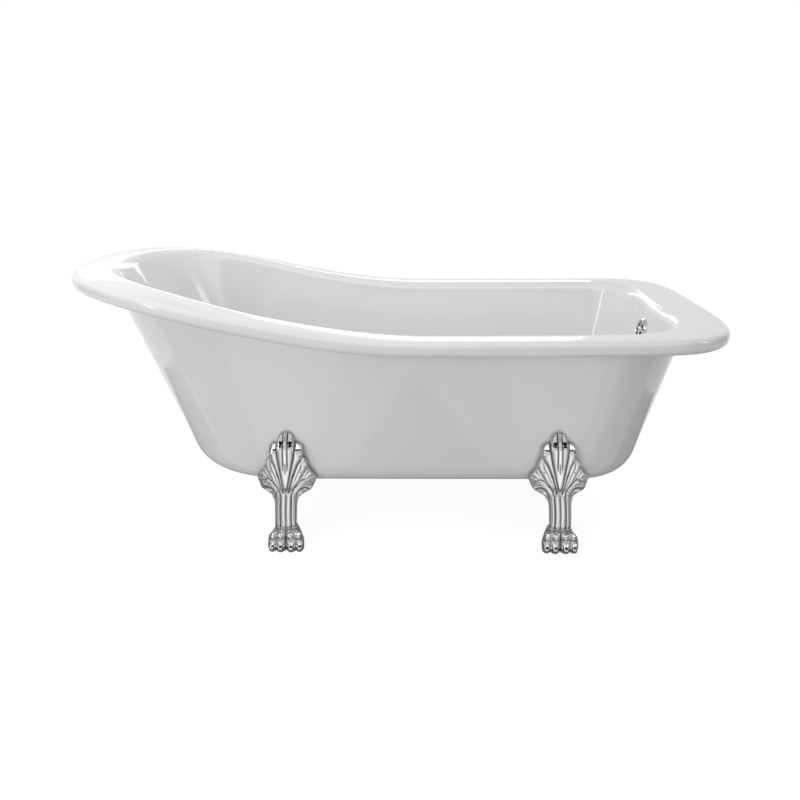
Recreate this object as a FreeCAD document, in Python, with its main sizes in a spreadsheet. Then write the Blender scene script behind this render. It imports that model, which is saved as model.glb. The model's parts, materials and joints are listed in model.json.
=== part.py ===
"""Single-ended slipper bath on four cast claw feet.

Frame: millimetres, +Z up.  The origin lies on the floor under the middle of the overall length and
width.  The raised (head) end points to -X, the waste (tap) end to +X.
"""

import FreeCAD, Part
import itertools
import math
import os

import Sketcher
from FreeCAD import Placement, Rotation, Vector

doc = FreeCAD.newDocument("SlipperBath")
sheet = doc.addObject("Spreadsheet::Sheet", "Sizes")

# ---------------------------------------------------------------------------------------------
# Driving dimensions
# ---------------------------------------------------------------------------------------------

CELLS = [
    # the bath as a whole
    ("overall_length", 1700, "over the rim, head end to tap end"),
    ("overall_width", 750, "over the rim"),
    ("low_rim_height", 637, "floor to the top of the rim at the tap end"),
    ("slipper_rise", 125, "how far the head end climbs above the side"),
    ("rim_dip", 7, "how far the middle of the side lies below the tap end"),
    ("rise_share", 0.54, "share of the length over which the rim climbs"),
    ("rise_lead", 0.02, "share of the length cut off the climb's level start at the head end"),
    # plan of the rim
    ("rim_head_reach", 510, "length of the rounded head end"),
    ("rim_head_power", 2.457, "squareness of the head end"),
    ("rim_corner", 330, "size of the tap end corners"),
    ("rim_corner_power", 3.74, "squareness of the tap end corners"),
    ("tap_narrowing", 0.9775, "width at the tap end over the width at the head end"),
    # rim section
    ("rim_nose", 15, "radius of the rolled outer edge"),
    ("rim_depth", 38, "height of the rolled edge"),
    ("rim_return", 31, "width of the turned-in lip"),
    ("rim_crown", 0.8, "crown of the flat of the rim"),
    ("rim_roll", 26, "size of the roll from the rim into the well"),
    ("roll_inset", 20.8, "well's edge to its walls' line at the rim"),
    # well
    ("side_rim_width", 62, "rim outer edge to the roll, at the sides"),
    ("head_rim_width", 85, "the same at the head end"),
    ("tap_deck_width", 112, "the same at the tap end"),
    ("well_head_reach", 440, "length of the rounded head of the well"),
    ("well_head_power", 2.4, "squareness of the head of the well"),
    ("well_corner", 200, "corner size of the well at the rim"),
    ("well_corner_power", 2.8, "squareness of those corners"),
    ("floor_head_run", 350, "overall head end to the head edge of the floor"),
    ("floor_tap_run", 225, "overall tap end to the tap edge of the floor"),
    ("floor_half_width", 205, "half the width of the floor before its fillet"),
    ("floor_head_reach", 240, "length of the rounded head of the floor"),
    ("floor_head_power", 2.3, "squareness of the head of the floor"),
    ("floor_corner", 120, "corner size of the floor"),
    ("floor_corner_power", 2.4, "squareness of those corners"),
    ("floor_fillet", 80, "size of the fillet round the floor"),
    ("inner_skin_thickness", 5, ""),
    # outer skin
    ("side_overhang", 50, "rim outer edge to the outer wall under it, at the sides"),
    ("head_overhang", 100, "the same at the head end"),
    ("tap_overhang", 76, "the same at the tap end"),
    ("outer_head_reach", 430, "length of the rounded head of the outer wall"),
    ("outer_head_power", 2.4, "squareness of the outer wall's head"),
    ("outer_corner", 270, "corner size of the outer wall at the top"),
    ("outer_corner_power", 2.2, "squareness of those corners"),
    ("base_head_run", 288, "overall head end to the head edge of the base"),
    ("base_tap_run", 184, "overall tap end to the tap edge of the base"),
    ("base_half_width", 262, "half the width of the base before its fillet"),
    ("base_head_reach", 300, "length of the rounded head of the base"),
    ("base_head_power", 2.3, "squareness of the head of the base"),
    ("base_corner", 190, "corner size of the base"),
    ("base_corner_power", 2.2, "squareness of those corners"),
    ("base_fillet", 72, "size of the fillet round the base"),
    ("base_height", 195, "floor to the underside of the bath"),
    ("outer_skin_thickness", 4, ""),
    ("bond_gap", 0.6, "adhesive between the two skins under the rim"),
    ("shoulder_fillet", 12, "flange to the outer wall"),
    ("flange_inset", 22, "rim outer edge to the outer skin's bonded flange"),
    ("edge_break", 1, "small chamfers on turned pieces"),
    # the board and its bearers, sealed between the skins
    ("board_thickness", 18, ""),
    ("board_overhang", 25, "board beyond the line of the bolts, at each side"),
    ("board_head_inset", 400, "overall head end to the head end of the board"),
    ("board_tap_gap", 40, "tap end of the board to the hose's hole"),
    ("board_corner", 120, "radius of the board's corners"),
    ("bearer_height", 10, "board to the underside of the well"),
    ("bearer_width", 60, ""),
    ("bearer_half_length", 125, ""),
    ("bearer_pitch", 225, "spacing of the bearers along the bath"),
    # feet
    ("head_foot_inset", 580, "overall head end to the head feet's leaf tips"),
    ("tap_foot_inset", 420, "overall tap end to the tap feet's leaf tips"),
    ("foot_line_inset", 136, "rim outer edge to the line of the glides"),
    ("foot_lean", 28, "how far a paw stands out from under its leaf tip, along the bath"),
    ("foot_height", 373, "floor to leaf tip"),
    ("paw_lift", 2, "paw above the floor, on its glide"),
    ("paw_half_width", 50, ""),
    ("paw_height", 80, ""),
    ("paw_front", 42, "line of the glides to the front of the toes"),
    ("paw_back", 42, "line of the glides to the back of the paw"),
    ("toe_depth", 5, "depth of the grooves between the toes"),
    ("toe_count", 4, ""),
    ("ankle_half_width", 31, ""),
    ("ankle_front", 35, "line of the glides to the front of the ankle"),
    ("ankle_back", 13, "line of the glides to the back of the ankle"),
    ("ankle_height", 130, "floor to the narrowest part"),
    ("wing_half_width", 78, ""),
    ("wing_height", 236, "floor to the widest part"),
    ("leaf_half_width", 56, "at the lower petals"),
    ("leaf_height", 290, "floor to the lower petals"),
    ("leaf_thickness", 36, "outer wall to the face of the leaf"),
    ("tip_half_width", 26, ""),
    ("tip_thickness", 12, ""),
    ("foot_clearance", 1, "leaf to the outer wall"),
    ("casting_wall", 8, "wall of the foot's hollow casting"),
    ("core_reach", 25, "how far the hollow runs out past the casting's back"),
    ("shelf_thickness", 12, "bracket under the bath, cast with the foot"),
    ("shelf_half_width", 35, ""),
    ("shelf_reach", 119, "line of the glides to the inner end of the bracket"),
    ("pad_set_in", 57, "line of the glides to the outer end of the rubber pad"),
    ("pad_thickness", 3, "rubber between bracket and bath"),
    # bolts
    ("bolt_radius", 5, ""),
    ("bolt_clearance", 0.5, "bolt to its holes"),
    ("bolt_spread", 20, "half the spacing of a foot's bolts"),
    ("bolt_set_in", 89, "line of the glides to the line of the bolts"),
    ("bolt_length", 34, "under the head"),
    ("bolt_head_height", 6.4, ""),
    ("bolt_head_flats", 16, "across flats"),
    ("washer_radius", 10, ""),
    ("washer_thickness", 2, ""),
    ("insert_radius", 7.5, "threaded insert in the board"),
    ("insert_length", 14, ""),
    # glides
    ("glide_pad_radius", 18, ""),
    ("glide_pad_height", 7.8, ""),
    ("glide_play", 0.2, "pad to the roof of its recess"),
    ("glide_recess_gap", 3, "pad to the side of its recess"),
    ("glide_stud_radius", 5, ""),
    ("glide_stud_length", 46, "above the pad"),
    ("glide_stud_clearance", 0.3, ""),
    ("glide_bore_spare", 4, "bore beyond the stud's end"),
    # waste
    ("waste_inset", 360, "overall tap end to the waste's centre"),
    ("waste_flange_radius", 35, ""),
    ("waste_flange_thickness", 3.5, ""),
    ("waste_hole_radius", 26, "hole in the well's floor"),
    ("waste_tube_radius", 23, "outside of the flange's threaded tube"),
    ("waste_bore_radius", 20, ""),
    ("waste_tube_length", 27, ""),
    ("waste_seal_thickness", 1.5, "rubber under the flange"),
    ("waste_seal_radius", 33, ""),
    ("waste_gasket_thickness", 4, "rubber under the floor"),
    ("waste_gasket_radius", 36, ""),
    ("waste_collar_radius", 38, ""),
    ("waste_collar_thickness", 4, ""),
    ("waste_body_radius", 29, ""),
    ("waste_body_length", 72, ""),
    ("waste_tail_radius", 23.9, "thread for the trap, over the crests"),
    ("waste_tail_length", 32, ""),
    ("waste_passage_radius", 46, "holes in board and outer skin"),
    ("inlet_drop", 27, "underside of the bath to the overflow inlet's centre"),
    ("inlet_reach", 62, "waste centre to the end of the inlet"),
    # pop-up plug
    ("plug_radius", 31, ""),
    ("plug_thickness", 4.5, ""),
    ("plug_crown", 2.5, "rise of the plug's middle"),
    ("plug_seat_gap", 0.3, "seal to the flange when shut"),
    ("plug_seal_radius", 28, ""),
    ("plug_seal_bore", 22, ""),
    ("plug_seal_thickness", 2, ""),
    ("plug_stem_radius", 4, ""),
    ("plug_stem_length", 44, ""),
    ("plug_guide_clearance", 0.05, "stem to its guide"),
    ("guide_hub_radius", 8, ""),
    ("guide_height", 5, ""),
    ("guide_drop", 14, "flange seat to the guide"),
    ("guide_bar_width", 4, ""),
    ("guide_ring_width", 2, ""),
    # overflow
    ("overflow_height", 560, "floor to the overflow's centre on the well's wall"),
    ("cover_radius", 32.5, ""),
    ("cover_height", 8, ""),
    ("cover_rim_width", 7, ""),
    ("cover_web_height", 4, "height of the cross bars"),
    ("cover_slot_angle", 62, "degrees of each opening between the bars"),
    ("cover_hub_radius", 9, ""),
    ("cover_hub_height", 6, ""),
    ("overflow_hole_radius", 21, ""),
    ("overflow_screw_radius", 3, ""),
    ("overflow_screw_head", 6, "radius of the head"),
    ("overflow_screw_rise", 2.4, "height of the head"),
    ("overflow_gasket_thickness", 3, ""),
    ("skin_play", 0.3, "moulded skin to the flat faces clamped to it"),
    ("elbow_radius", 31, ""),
    ("elbow_depth", 24, ""),
    ("elbow_wall", 3, ""),
    ("elbow_boss_radius", 6.5, ""),
    ("spigot_radius", 10, ""),
    ("spigot_bore", 7.5, ""),
    ("spigot_reach", 50, "elbow centre to the spigot's end"),
    ("hose_radius", 13, ""),
    ("hose_lap", 14, "hose pushed over each spigot"),
    ("hose_exit", 228, "overall tap end to the hose's hole in the base"),
    ("hose_hole_radius", 22, ""),
]


def fill_sheet():
    """Write every driving dimension to the sheet, with its alias."""
    for index, (alias, number, note) in enumerate(CELLS):
        row = index + 1
        sheet.set(f"A{row}", alias)
        sheet.set(f"B{row}", str(number))
        sheet.set(f"C{row}", note)
        sheet.setAlias(f"B{row}", alias)
    doc.recompute()


fill_sheet()


class Size:
    """A number together with the sheet expression that it comes from."""

    def __init__(self, text, number):
        self.text = text
        self.number = number

    def __add__(self, other):
        other = size(other)
        return Size(f"({self.text} + {other.text})", self.number + other.number)

    def __sub__(self, other):
        other = size(other)
        return Size(f"({self.text} - {other.text})", self.number - other.number)

    def __mul__(self, other):
        other = size(other)
        return Size(f"({self.text} * {other.text})", self.number * other.number)

    def __truediv__(self, other):
        other = size(other)
        return Size(f"({self.text} / {other.text})", self.number / other.number)

    def __neg__(self):
        return Size(f"(-1 * {self.text})", -self.number)

    def __float__(self):
        return self.number


def size(thing):
    """A Size from a cell's alias, a plain number or a Size."""
    if isinstance(thing, Size):
        return thing
    if isinstance(thing, str):
        return Size(f"Sizes.{thing}", float(sheet.get(thing)))
    return Size(f"{thing:.9g}", float(thing))


def mm(alias):
    """The number in a cell."""
    return float(sheet.get(alias))


def bind(thing, prop, amount):
    """Tie a property to the sheet."""
    thing.setExpression(prop, size(amount).text)


# ---------------------------------------------------------------------------------------------
# Building blocks
# ---------------------------------------------------------------------------------------------

HALF = 2
FULL_TURN = 360
nodes = []


def node(thing, label):
    """Register an object as one of the sub-parts."""
    thing.Label = label
    nodes.append(thing)
    return thing


def place(thing, at):
    """Tie an object's position to the sheet."""
    for axis, amount in zip("xyz", at):
        bind(thing, f"Placement.Base.{axis}", amount)


def rod(name, radius, height, at=None, angle=FULL_TURN):
    """An upright cylinder, or a sector of one."""
    thing = doc.addObject("Part::Cylinder", name)
    bind(thing, "Radius", radius)
    bind(thing, "Height", height)
    bind(thing, "Angle", angle)
    if at:
        place(thing, at)
    return thing


def block(name, low, high):
    """A box between two corners."""
    thing = doc.addObject("Part::Box", name)
    for prop, start, stop in zip(("Length", "Width", "Height"), low, high):
        bind(thing, prop, size(stop) - start)
    place(thing, low)
    return thing


def prism(name, flats, height, at):
    """An upright hexagon, given its size across flats."""
    thing = doc.addObject("Part::Prism", name)
    thing.Polygon = 6
    bind(thing, "Circumradius", size(flats) / math.sqrt(3))
    bind(thing, "Height", height)
    place(thing, at)
    return thing


def cut(name, base, tools):
    """Base less its tools."""
    for count, tool in enumerate(tools):
        result = doc.addObject("Part::Cut", f"{name}_cut_{count}")
        result.Base = base
        result.Tool = tool
        base = result
    return base


def fuse(name, shapes):
    """Several solids as one."""
    result = doc.addObject("Part::MultiFuse", f"{name}_fuse")
    result.Shapes = shapes
    return result


def group(name, shapes):
    """Separate solids held as one sub-part."""
    result = doc.addObject("Part::Compound", f"{name}_group")
    result.Links = shapes
    return result


def tube(name, outer, inner, height, at):
    """An upright ring."""
    return cut(name, rod(f"{name}_outside", outer, height, at), [rod(f"{name}_inside", inner, height, at)])


def origin_plane(body, role):
    """One of a body's own origin planes."""
    return [item for item in body.Origin.OriginFeatures if item.Role == role][0]


def turned(name, profile):
    """A body turned about its own Z axis from a closed profile of (radius, height) sizes."""
    body = doc.addObject("PartDesign::Body", f"{name}_body")
    sketch = body.newObject("Sketcher::SketchObject", f"{name}_profile")
    sketch.AttachmentSupport = (origin_plane(body, "XZ_Plane"), [""])
    sketch.MapMode = "FlatFace"
    corners = [(size(radius), size(height)) for radius, height in profile]
    count = len(corners)
    for index in range(count):
        start = corners[index]
        stop = corners[(index + 1) % count]
        line = Part.LineSegment(
            Vector(start[0].number, start[1].number, 0), Vector(stop[0].number, stop[1].number, 0)
        )
        sketch.addGeometry(line)
    for index in range(count):
        sketch.addConstraint(Sketcher.Constraint("Coincident", index, 2, (index + 1) % count, 1))
    for index, (radius, height) in enumerate(corners):
        pin_coordinate(sketch, index, "DistanceX", radius, -2)
        pin_coordinate(sketch, index, "DistanceY", height, -1)
    doc.recompute()
    turn = body.newObject("PartDesign::Revolution", f"{name}_turn")
    turn.Profile = sketch
    turn.ReferenceAxis = (sketch, ["V_Axis"])
    turn.Angle = FULL_TURN
    body.Tip = turn
    return body


def pin_coordinate(sketch, index, kind, amount, axis):
    """Fix one coordinate of a line's first point, or put the point on the axis where it is nought."""
    if abs(amount.number) < 1e-9:
        sketch.addConstraint(Sketcher.Constraint("PointOnObject", index, 1, axis))
        return
    slot = sketch.addConstraint(Sketcher.Constraint(kind, -1, 1, index, 1, amount.number))
    sketch.setExpression(f"Constraints[{slot}]", amount.text)


# ---------------------------------------------------------------------------------------------
# The two skins: closed plan outlines at each level, joined by smooth surfaces
# ---------------------------------------------------------------------------------------------

HEAD_STEPS = 14
SIDE_STEPS = 12
CORNER_STEPS = 12
END_STEPS = 2
FINE_STEPS = 40
half_length = mm("overall_length") / HALF
half_width = mm("overall_width") / HALF


def power(base, exponent):
    """A power that treats rounding below nought as nought."""
    return max(base, 0.0) ** exponent


def quarter_turn(across, along_y, exponent, steps):
    """A quarter of a superellipse, from its end on the long axis to its side, in even steps."""
    fine = FINE_STEPS * steps
    trail = [(0.0, (across, 0.0))]
    for step in range(1, fine + 1):
        turn = math.pi / 2 * step / fine
        point = (across * power(math.cos(turn), 2 / exponent), along_y * power(math.sin(turn), 2 / exponent))
        length, last = trail[-1]
        trail.append((length + math.hypot(point[0] - last[0], point[1] - last[1]), point))
    total = trail[-1][0]
    return [min(trail, key=lambda item: abs(item[0] - total * step / steps))[1] for step in range(steps + 1)]


def outline(head, tap, side, tap_side, reach, head_power, corner, corner_power):
    """Plan outline: a superellipse head, gently tapering sides and superellipse tap end corners."""
    start = head + reach
    stop = tap - corner
    points = [(start - x, y) for x, y in quarter_turn(reach, side, head_power, HEAD_STEPS)]
    for step in range(1, SIDE_STEPS):
        share = step / SIDE_STEPS
        points.append((start + (stop - start) * share, side + (tap_side - side) * share**2))
    turn = quarter_turn(corner, corner, corner_power, CORNER_STEPS)
    points += [(stop + x, tap_side - corner + y) for x, y in reversed(turn)]
    for step in range(1, END_STEPS + 1):
        points.append((tap, (tap_side - corner) * (1 - step / END_STEPS)))
    mirrored = [(x, -y) for x, y in points[-2:0:-1]]
    return points + mirrored


def named_outline(head_gap, tap_gap, side, prefix):
    """Plan outline from its gaps to the overall size and the sizes that share a prefix."""
    return outline(
        mm(head_gap) - half_length,
        half_length - mm(tap_gap),
        side,
        side * mm("tap_narrowing"),
        mm(f"{prefix}_head_reach"),
        mm(f"{prefix}_head_power"),
        mm(f"{prefix}_corner"),
        mm(f"{prefix}_corner_power"),
    )


def rim_height(x):
    """Top of the rim: level along the side, sweeping up to the head end."""
    share = (x + half_length) / (2 * half_length)
    climb = mm("rise_share")
    lead = mm("rise_lead")
    height = mm("low_rim_height") - mm("rim_dip")
    if share < climb:
        swing = math.cos(math.pi * (share + lead) / (climb + lead))
        height += mm("slipper_rise") * (1 + swing) / HALF
    else:
        height += mm("rim_dip") * ((share - climb) / (1 - climb)) ** 2
    return height


rim_plan = outline(
    -half_length,
    half_length,
    half_width,
    half_width * mm("tap_narrowing"),
    mm("rim_head_reach"),
    mm("rim_head_power"),
    mm("rim_corner"),
    mm("rim_corner_power"),
)
well_plan = named_outline("head_rim_width", "tap_deck_width", half_width - mm("side_rim_width"), "well")
floor_plan = named_outline("floor_head_run", "floor_tap_run", mm("floor_half_width"), "floor")
outer_plan = named_outline("head_overhang", "tap_overhang", half_width - mm("side_overhang"), "outer")
base_plan = named_outline("base_head_run", "base_tap_run", mm("base_half_width"), "base")
rim_tops = [rim_height(x) for x, y in rim_plan]
floor_height = (
    mm("base_height")
    + mm("outer_skin_thickness")
    + mm("board_thickness")
    + mm("bearer_height")
    + mm("inner_skin_thickness")
)


def level(plan, heights, drop=0.0):
    """A plan outline lifted to its heights."""
    return [Vector(x, y, height - drop) for (x, y), height in zip(plan, heights)]


def inset(plan, target, distance):
    """A plan outline moved towards another by a distance."""
    moved = []
    for (x, y), (toward_x, toward_y) in zip(plan, target):
        gap = math.hypot(toward_x - x, toward_y - y)
        share = distance / gap
        moved.append((x + (toward_x - x) * share, y + (toward_y - y) * share))
    return moved


def along(start, stop, distance):
    """Points a distance from start towards stop."""
    return [a + (b - a).normalize() * distance for a, b in zip(start, stop)]


def between(start, stop, share):
    """Points at a share of the way from start to stop."""
    return [a + (b - a) * share for a, b in zip(start, stop)]


def rounded(start, corner, stop, steps):
    """Levels along a parabola from start to stop, drawn towards a corner."""
    return [
        [a * (1 - t) ** 2 + b * (2 * t * (1 - t)) + c * t**2 for a, b, c in zip(start, corner, stop)]
        for t in (step / steps for step in range(steps + 1))
    ]


def inward(plan, distance, height):
    """The flat edge of a floor: its outline moved towards the floor's middle line."""
    moved = []
    for x, y in plan:
        middle = min(max(x, -half_length / 3), half_length / 2)
        direction = Vector(middle - x, -y, 0).normalize()
        moved.append(Vector(x, y, height) + direction * distance)
    return moved


def inner_bands():
    """The seen side of the well and rim, from the turned-in lip to the flat of the floor."""
    nose = mm("rim_nose")
    depth = mm("rim_depth")
    roll = mm("rim_roll")
    fillet = mm("floor_fillet")
    quarter = [math.pi / 2 * step / 4 for step in range(5)]
    lip = level(inset(rim_plan, well_plan, mm("rim_return")), rim_tops, depth)
    under = []
    over = []
    for turn in quarter:
        gap = nose * (1 - math.sin(turn))
        under.append(level(inset(rim_plan, well_plan, gap), rim_tops, depth - nose + nose * math.cos(turn)))
        gap = nose * (1 - math.cos(turn))
        over.append(level(inset(rim_plan, well_plan, gap), rim_tops, nose - nose * math.sin(turn)))
    edge = level(well_plan, rim_tops)
    crown = [point + Vector(0, 0, mm("rim_crown")) for point in between(over[-1], edge, 0.5)]
    turn_over = level(inset(well_plan, rim_plan, -mm("roll_inset")), rim_tops)
    floor = [Vector(x, y, floor_height) for x, y in floor_plan]
    wall_start = along(turn_over, floor, roll)
    wall_stop = along(floor, turn_over, fillet)
    return [
        [lip, under[0]],
        under,
        [under[-1], over[0]],
        over,
        [over[-1], crown, edge],
        rounded(edge, turn_over, wall_start, 4),
        [wall_start, wall_stop],
        rounded(wall_stop, floor, inward(floor_plan, fillet, floor_height), 5),
    ]


def outer_bands():
    """The seen side of the outer wall, from its bonded flange to the flat of the base."""
    fillet = mm("base_fillet")
    base = mm("base_height")
    drop = mm("rim_depth") - mm("inner_skin_thickness") - mm("bond_gap")
    top = level(outer_plan, rim_tops, drop)
    flange = level(inset(rim_plan, outer_plan, mm("flange_inset")), rim_tops, drop)
    before = level(inset(outer_plan, rim_plan, mm("shoulder_fillet")), rim_tops, drop)
    bottom = [Vector(x, y, base) for x, y in base_plan]
    wall_start = along(top, bottom, mm("shoulder_fillet"))
    wall_stop = along(bottom, top, fillet)
    return [
        [flange, before],
        rounded(before, top, wall_start, 4),
        [wall_start, wall_stop],
        rounded(wall_stop, bottom, inward(base_plan, fillet, base), 6),
    ]


def joined(bands):
    """All levels of a stack of bands that share their edges."""
    levels = list(bands[0])
    for band in bands[1:]:
        levels += band[1:]
    return levels


def offset_bands(bands, thickness, last_normal):
    """The same bands moved through a skin's thickness, along the surface's normals."""
    levels = joined(bands)
    count = len(levels[0])
    last = len(levels) - 1
    sign = 0
    moved = []
    for index in range(last, -1, -1):
        above = levels[max(index - 1, 0)]
        below = levels[min(index + 1, last)]
        row = []
        for column in range(count):
            across = levels[index][(column + 1) % count] - levels[index][column - 1]
            down = (below[column] - levels[index][column]).normalize() if index < last else Vector()
            up = (levels[index][column] - above[column]).normalize() if index else Vector()
            normal = across.cross(up + down).normalize()
            sign = sign or math.copysign(1, normal.z * last_normal.z)
            row.append(levels[index][column] + (last_normal if index == last else normal * sign) * thickness)
        moved.insert(0, row)
    regrouped = []
    start = 0
    for band in bands:
        regrouped.append(moved[start : start + len(band)])
        start += len(band) - 1
    return regrouped


def shared_knots():
    """Parameters that every level's curve shares: the mean share of the way round, at each point."""
    plans = (rim_plan, well_plan, floor_plan, outer_plan, base_plan)
    steps = [0.0] * len(rim_plan)
    for plan in plans:
        gaps = [math.dist(point, plan[index - 1]) for index, point in enumerate(plan)]
        gaps = gaps[1:] + gaps[:1]
        steps = [total + gap / sum(gaps) / len(plans) for total, gap in zip(steps, gaps)]
    knots = [0.0]
    for gap in steps:
        knots.append(knots[-1] + gap)
    return knots


def closed_wire(points):
    """A smooth closed curve through points, in quarters, parametrised so that all levels match."""
    curve = Part.BSplineCurve()
    knots = shared_knots()
    curve.interpolate(Points=points, PeriodicFlag=True, Parameters=knots)
    half_turn = len(points) // 2
    breaks = [0, half_turn // 2, half_turn, half_turn + half_turn // 2, len(points)]
    return Part.Wire([curve.toShape(knots[i], knots[j]) for i, j in zip(breaks, breaks[1:])])


def skin_solid(bands, thickness, last_normal):
    """A moulded skin: two smooth sides, a lip face and flat floors, sewn to a solid."""
    faces = []
    rims = []
    for side in (bands, offset_bands(bands, thickness, last_normal)):
        for band in side:
            faces += Part.makeLoft([closed_wire(row) for row in band], False, False).Faces
        rims.append(closed_wire(side[0][0]))
        faces.append(Part.Face(closed_wire(side[-1][-1])))
    faces += Part.makeLoft(rims, False, True).Faces
    sewn = Part.makeShell(faces)
    sewn.sewShape()
    solid = Part.makeSolid(sewn)
    if solid.Volume < 0:
        solid.reverse()
    return solid


def feature(label, shape):
    """A sub-part whose shape is worked out from the sheet's sizes in code."""
    thing = doc.addObject("Part::Feature", f"{label}_shape")
    thing.Shape = shape
    thing.Placement = Placement()
    return thing


# ---------------------------------------------------------------------------------------------
# Where things are, worked out from the skins
# ---------------------------------------------------------------------------------------------

UP = Vector(0, 0, 1)
DOWN = Vector(0, 0, -1)
hl = size("overall_length") / HALF
base_top = size("base_height") + "outer_skin_thickness"
board_top = base_top + "board_thickness"
well_under = board_top + "bearer_height"
well_floor = well_under + "inner_skin_thickness"
waste_x = hl - "waste_inset"
hose_x = hl - "hose_exit"
foot_line = size("overall_width") / HALF - "foot_line_inset"
bolt_line = foot_line - "bolt_set_in"
shelf_inner_end = foot_line - "shelf_reach"


def tap_wall_point(height):
    """The middle of the well's tap end wall at a height, and the wall's direction upward."""
    top_x = half_length - mm("tap_deck_width") - mm("roll_inset")
    top = Vector(top_x, 0, rim_height(half_length))
    foot = Vector(half_length - mm("floor_tap_run"), 0, floor_height)
    slope = (top - foot).normalize()
    return foot + slope * ((height - foot.z) / slope.z), slope


overflow_at, wall_up = tap_wall_point(mm("overflow_height"))
wall_out = wall_up.cross(Vector(0, 1, 0)).normalize()
if wall_out.x > 0:
    wall_out = wall_out * -1
overflow_turn = Rotation(wall_up.cross(wall_out), wall_up, wall_out, "ZYX")
overflow_place = Placement(overflow_at, overflow_turn)


def on_overflow(thing):
    """Carry a piece drawn on its own axis to the overflow, with +Z out of the wall into the well."""
    thing.Placement = overflow_place
    return thing


# ---------------------------------------------------------------------------------------------
# Skins, board and bearers
# ---------------------------------------------------------------------------------------------

FOOT_NAMES = ("front_head", "front_tap", "rear_head", "rear_tap")


def foot_side(name):
    """-1 for the feet nearest the viewer, 1 for those behind."""
    return -1 if name.startswith("front") else 1


def foot_end(name):
    """-1 for the head end, 1 for the tap end."""
    return -1 if name.endswith("head") else 1


def leaf_station(name):
    """Where a foot's leaf tip stands along the bath."""
    return hl - "tap_foot_inset" if foot_end(name) > 0 else size("head_foot_inset") - hl


def lean_at(name, height):
    """Where a foot's middle line is along the bath, at a height."""
    share = size(1) - size(height) / "foot_height"
    return leaf_station(name) + size("foot_lean") * share * foot_end(name)


def bolt_spots(name):
    """The two bolts of a foot."""
    middle = lean_at(name, "base_height")
    line = bolt_line * foot_side(name)
    return [(middle - "bolt_spread", line), (middle + "bolt_spread", line)]


ALL_BOLTS = [spot for name in FOOT_NAMES for spot in bolt_spots(name)]


def bolt_rods(name, radius, start, height):
    """One upright rod at each bolt."""
    return [rod(f"{name}_{count}", radius, height, (x, y, start)) for count, (x, y) in enumerate(ALL_BOLTS)]


def make_inner_skin():
    """Well and rim, moulded in one, with its waste and overflow holes."""
    skin = feature("inner_skin_moulding", skin_solid(inner_bands(), mm("inner_skin_thickness"), DOWN))
    depth = size("inner_skin_thickness") * HALF
    waste = rod("waste_hole", "waste_hole_radius", depth * HALF, (waste_x, 0, well_floor - depth))
    overflow = rod("overflow_hole", "overflow_hole_radius", depth * HALF)
    overflow.Placement = overflow_place.multiply(Placement(DOWN * depth.number, Rotation()))
    node(cut("inner_skin", skin, [waste, overflow]), "inner_skin")


def make_outer_skin():
    """Outer wall and base, moulded in one, with holes for the waste, the hose and the bolts."""
    skin = feature("outer_skin_moulding", skin_solid(outer_bands(), mm("outer_skin_thickness"), UP))
    under = size("base_height") - "board_thickness"
    depth = size("board_thickness") * 3
    hole_radius = size("bolt_radius") + "bolt_clearance"
    tools = bolt_rods("base_bolt_hole", hole_radius, under, depth)
    tools.append(rod("base_waste_hole", "waste_passage_radius", depth, (waste_x, 0, under)))
    tools.append(rod("base_hose_hole", "hose_hole_radius", depth, (hose_x, 0, under)))
    node(cut("outer_skin", skin, [fuse("base_holes", tools)]), "outer_skin")


def make_board():
    """The board sealed in over the base, with its waste hole and the seats of the inserts."""
    head = size("board_head_inset") - hl
    tap = hose_x - "hose_hole_radius" - "board_tap_gap"
    side = bolt_line + "board_overhang"
    corner = size("board_corner")
    blanks = [
        block("board_length", (head, -(side - corner), base_top), (tap, side - corner, board_top)),
        block("board_width", (head + corner, -side, base_top), (tap - corner, side, board_top)),
    ]
    corners = itertools.product((head + corner, tap - corner), (corner - side, side - corner))
    for count, (x, y) in enumerate(corners):
        blanks.append(rod(f"board_corner_{count}", corner, "board_thickness", (x, y, base_top)))
    tools = bolt_rods("insert_seat", "insert_radius", base_top, "insert_length")
    deep = size("board_thickness") * HALF
    under = base_top - "edge_break"
    tools.append(rod("board_waste_hole", "waste_passage_radius", deep, (waste_x, 0, under)))
    node(cut("baseboard", fuse("board_blank", blanks), [fuse("board_holes", tools)]), "baseboard")


def make_bearers():
    """Strips that carry the well's floor on the board."""
    for count, name in enumerate(("bearer_head", "bearer_middle", "bearer_tap")):
        middle = size("bearer_pitch") * (count - 1)
        reach = size("bearer_width") / HALF
        low = (middle - reach, -size("bearer_half_length"), board_top)
        high = (middle + reach, size("bearer_half_length"), well_under)
        node(block(f"{name}_strip", low, high), name)


# ---------------------------------------------------------------------------------------------
# Feet
# ---------------------------------------------------------------------------------------------

SECTION_POINTS = 56
# height over paw_height, width over paw_half_width, set back at front and back, toe grooves' share
PAW_SECTIONS = (
    (0.0, 0.92, 4, 4, 1.0),
    (0.16, 1.0, 0, 0, 1.0),
    (0.42, 1.0, 1, 0, 1.0),
    (0.7, 0.93, 6, 8, 0.8),
)
# where the paw narrows to the ankle
SHOULDER_SET_BACK = 8
SHOULDER_SET_IN = 4
# above ankle_height, width over ankle_half_width, how far front and back stand out
ANKLE_SECTIONS = ((-20, 1.0, -4, -2), (20, 1.0, 0, 0), (55, 1.2, 12, 4))
# which part's height and half width, above that height, width share, share of leaf_thickness
LEAF_SECTIONS = (
    ("wing", -28, 0.72, 1.25),
    ("wing", 0, 1.0, 1.1),
    ("wing", 22, 0.93, 1.0),
    ("leaf", -12, 1.05, 0.95),
    ("leaf", 14, 0.96, 0.85),
)
# between the petals and the tip
WAIST_ABOVE = 8
WAIST_WIDTH = 0.88
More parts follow.
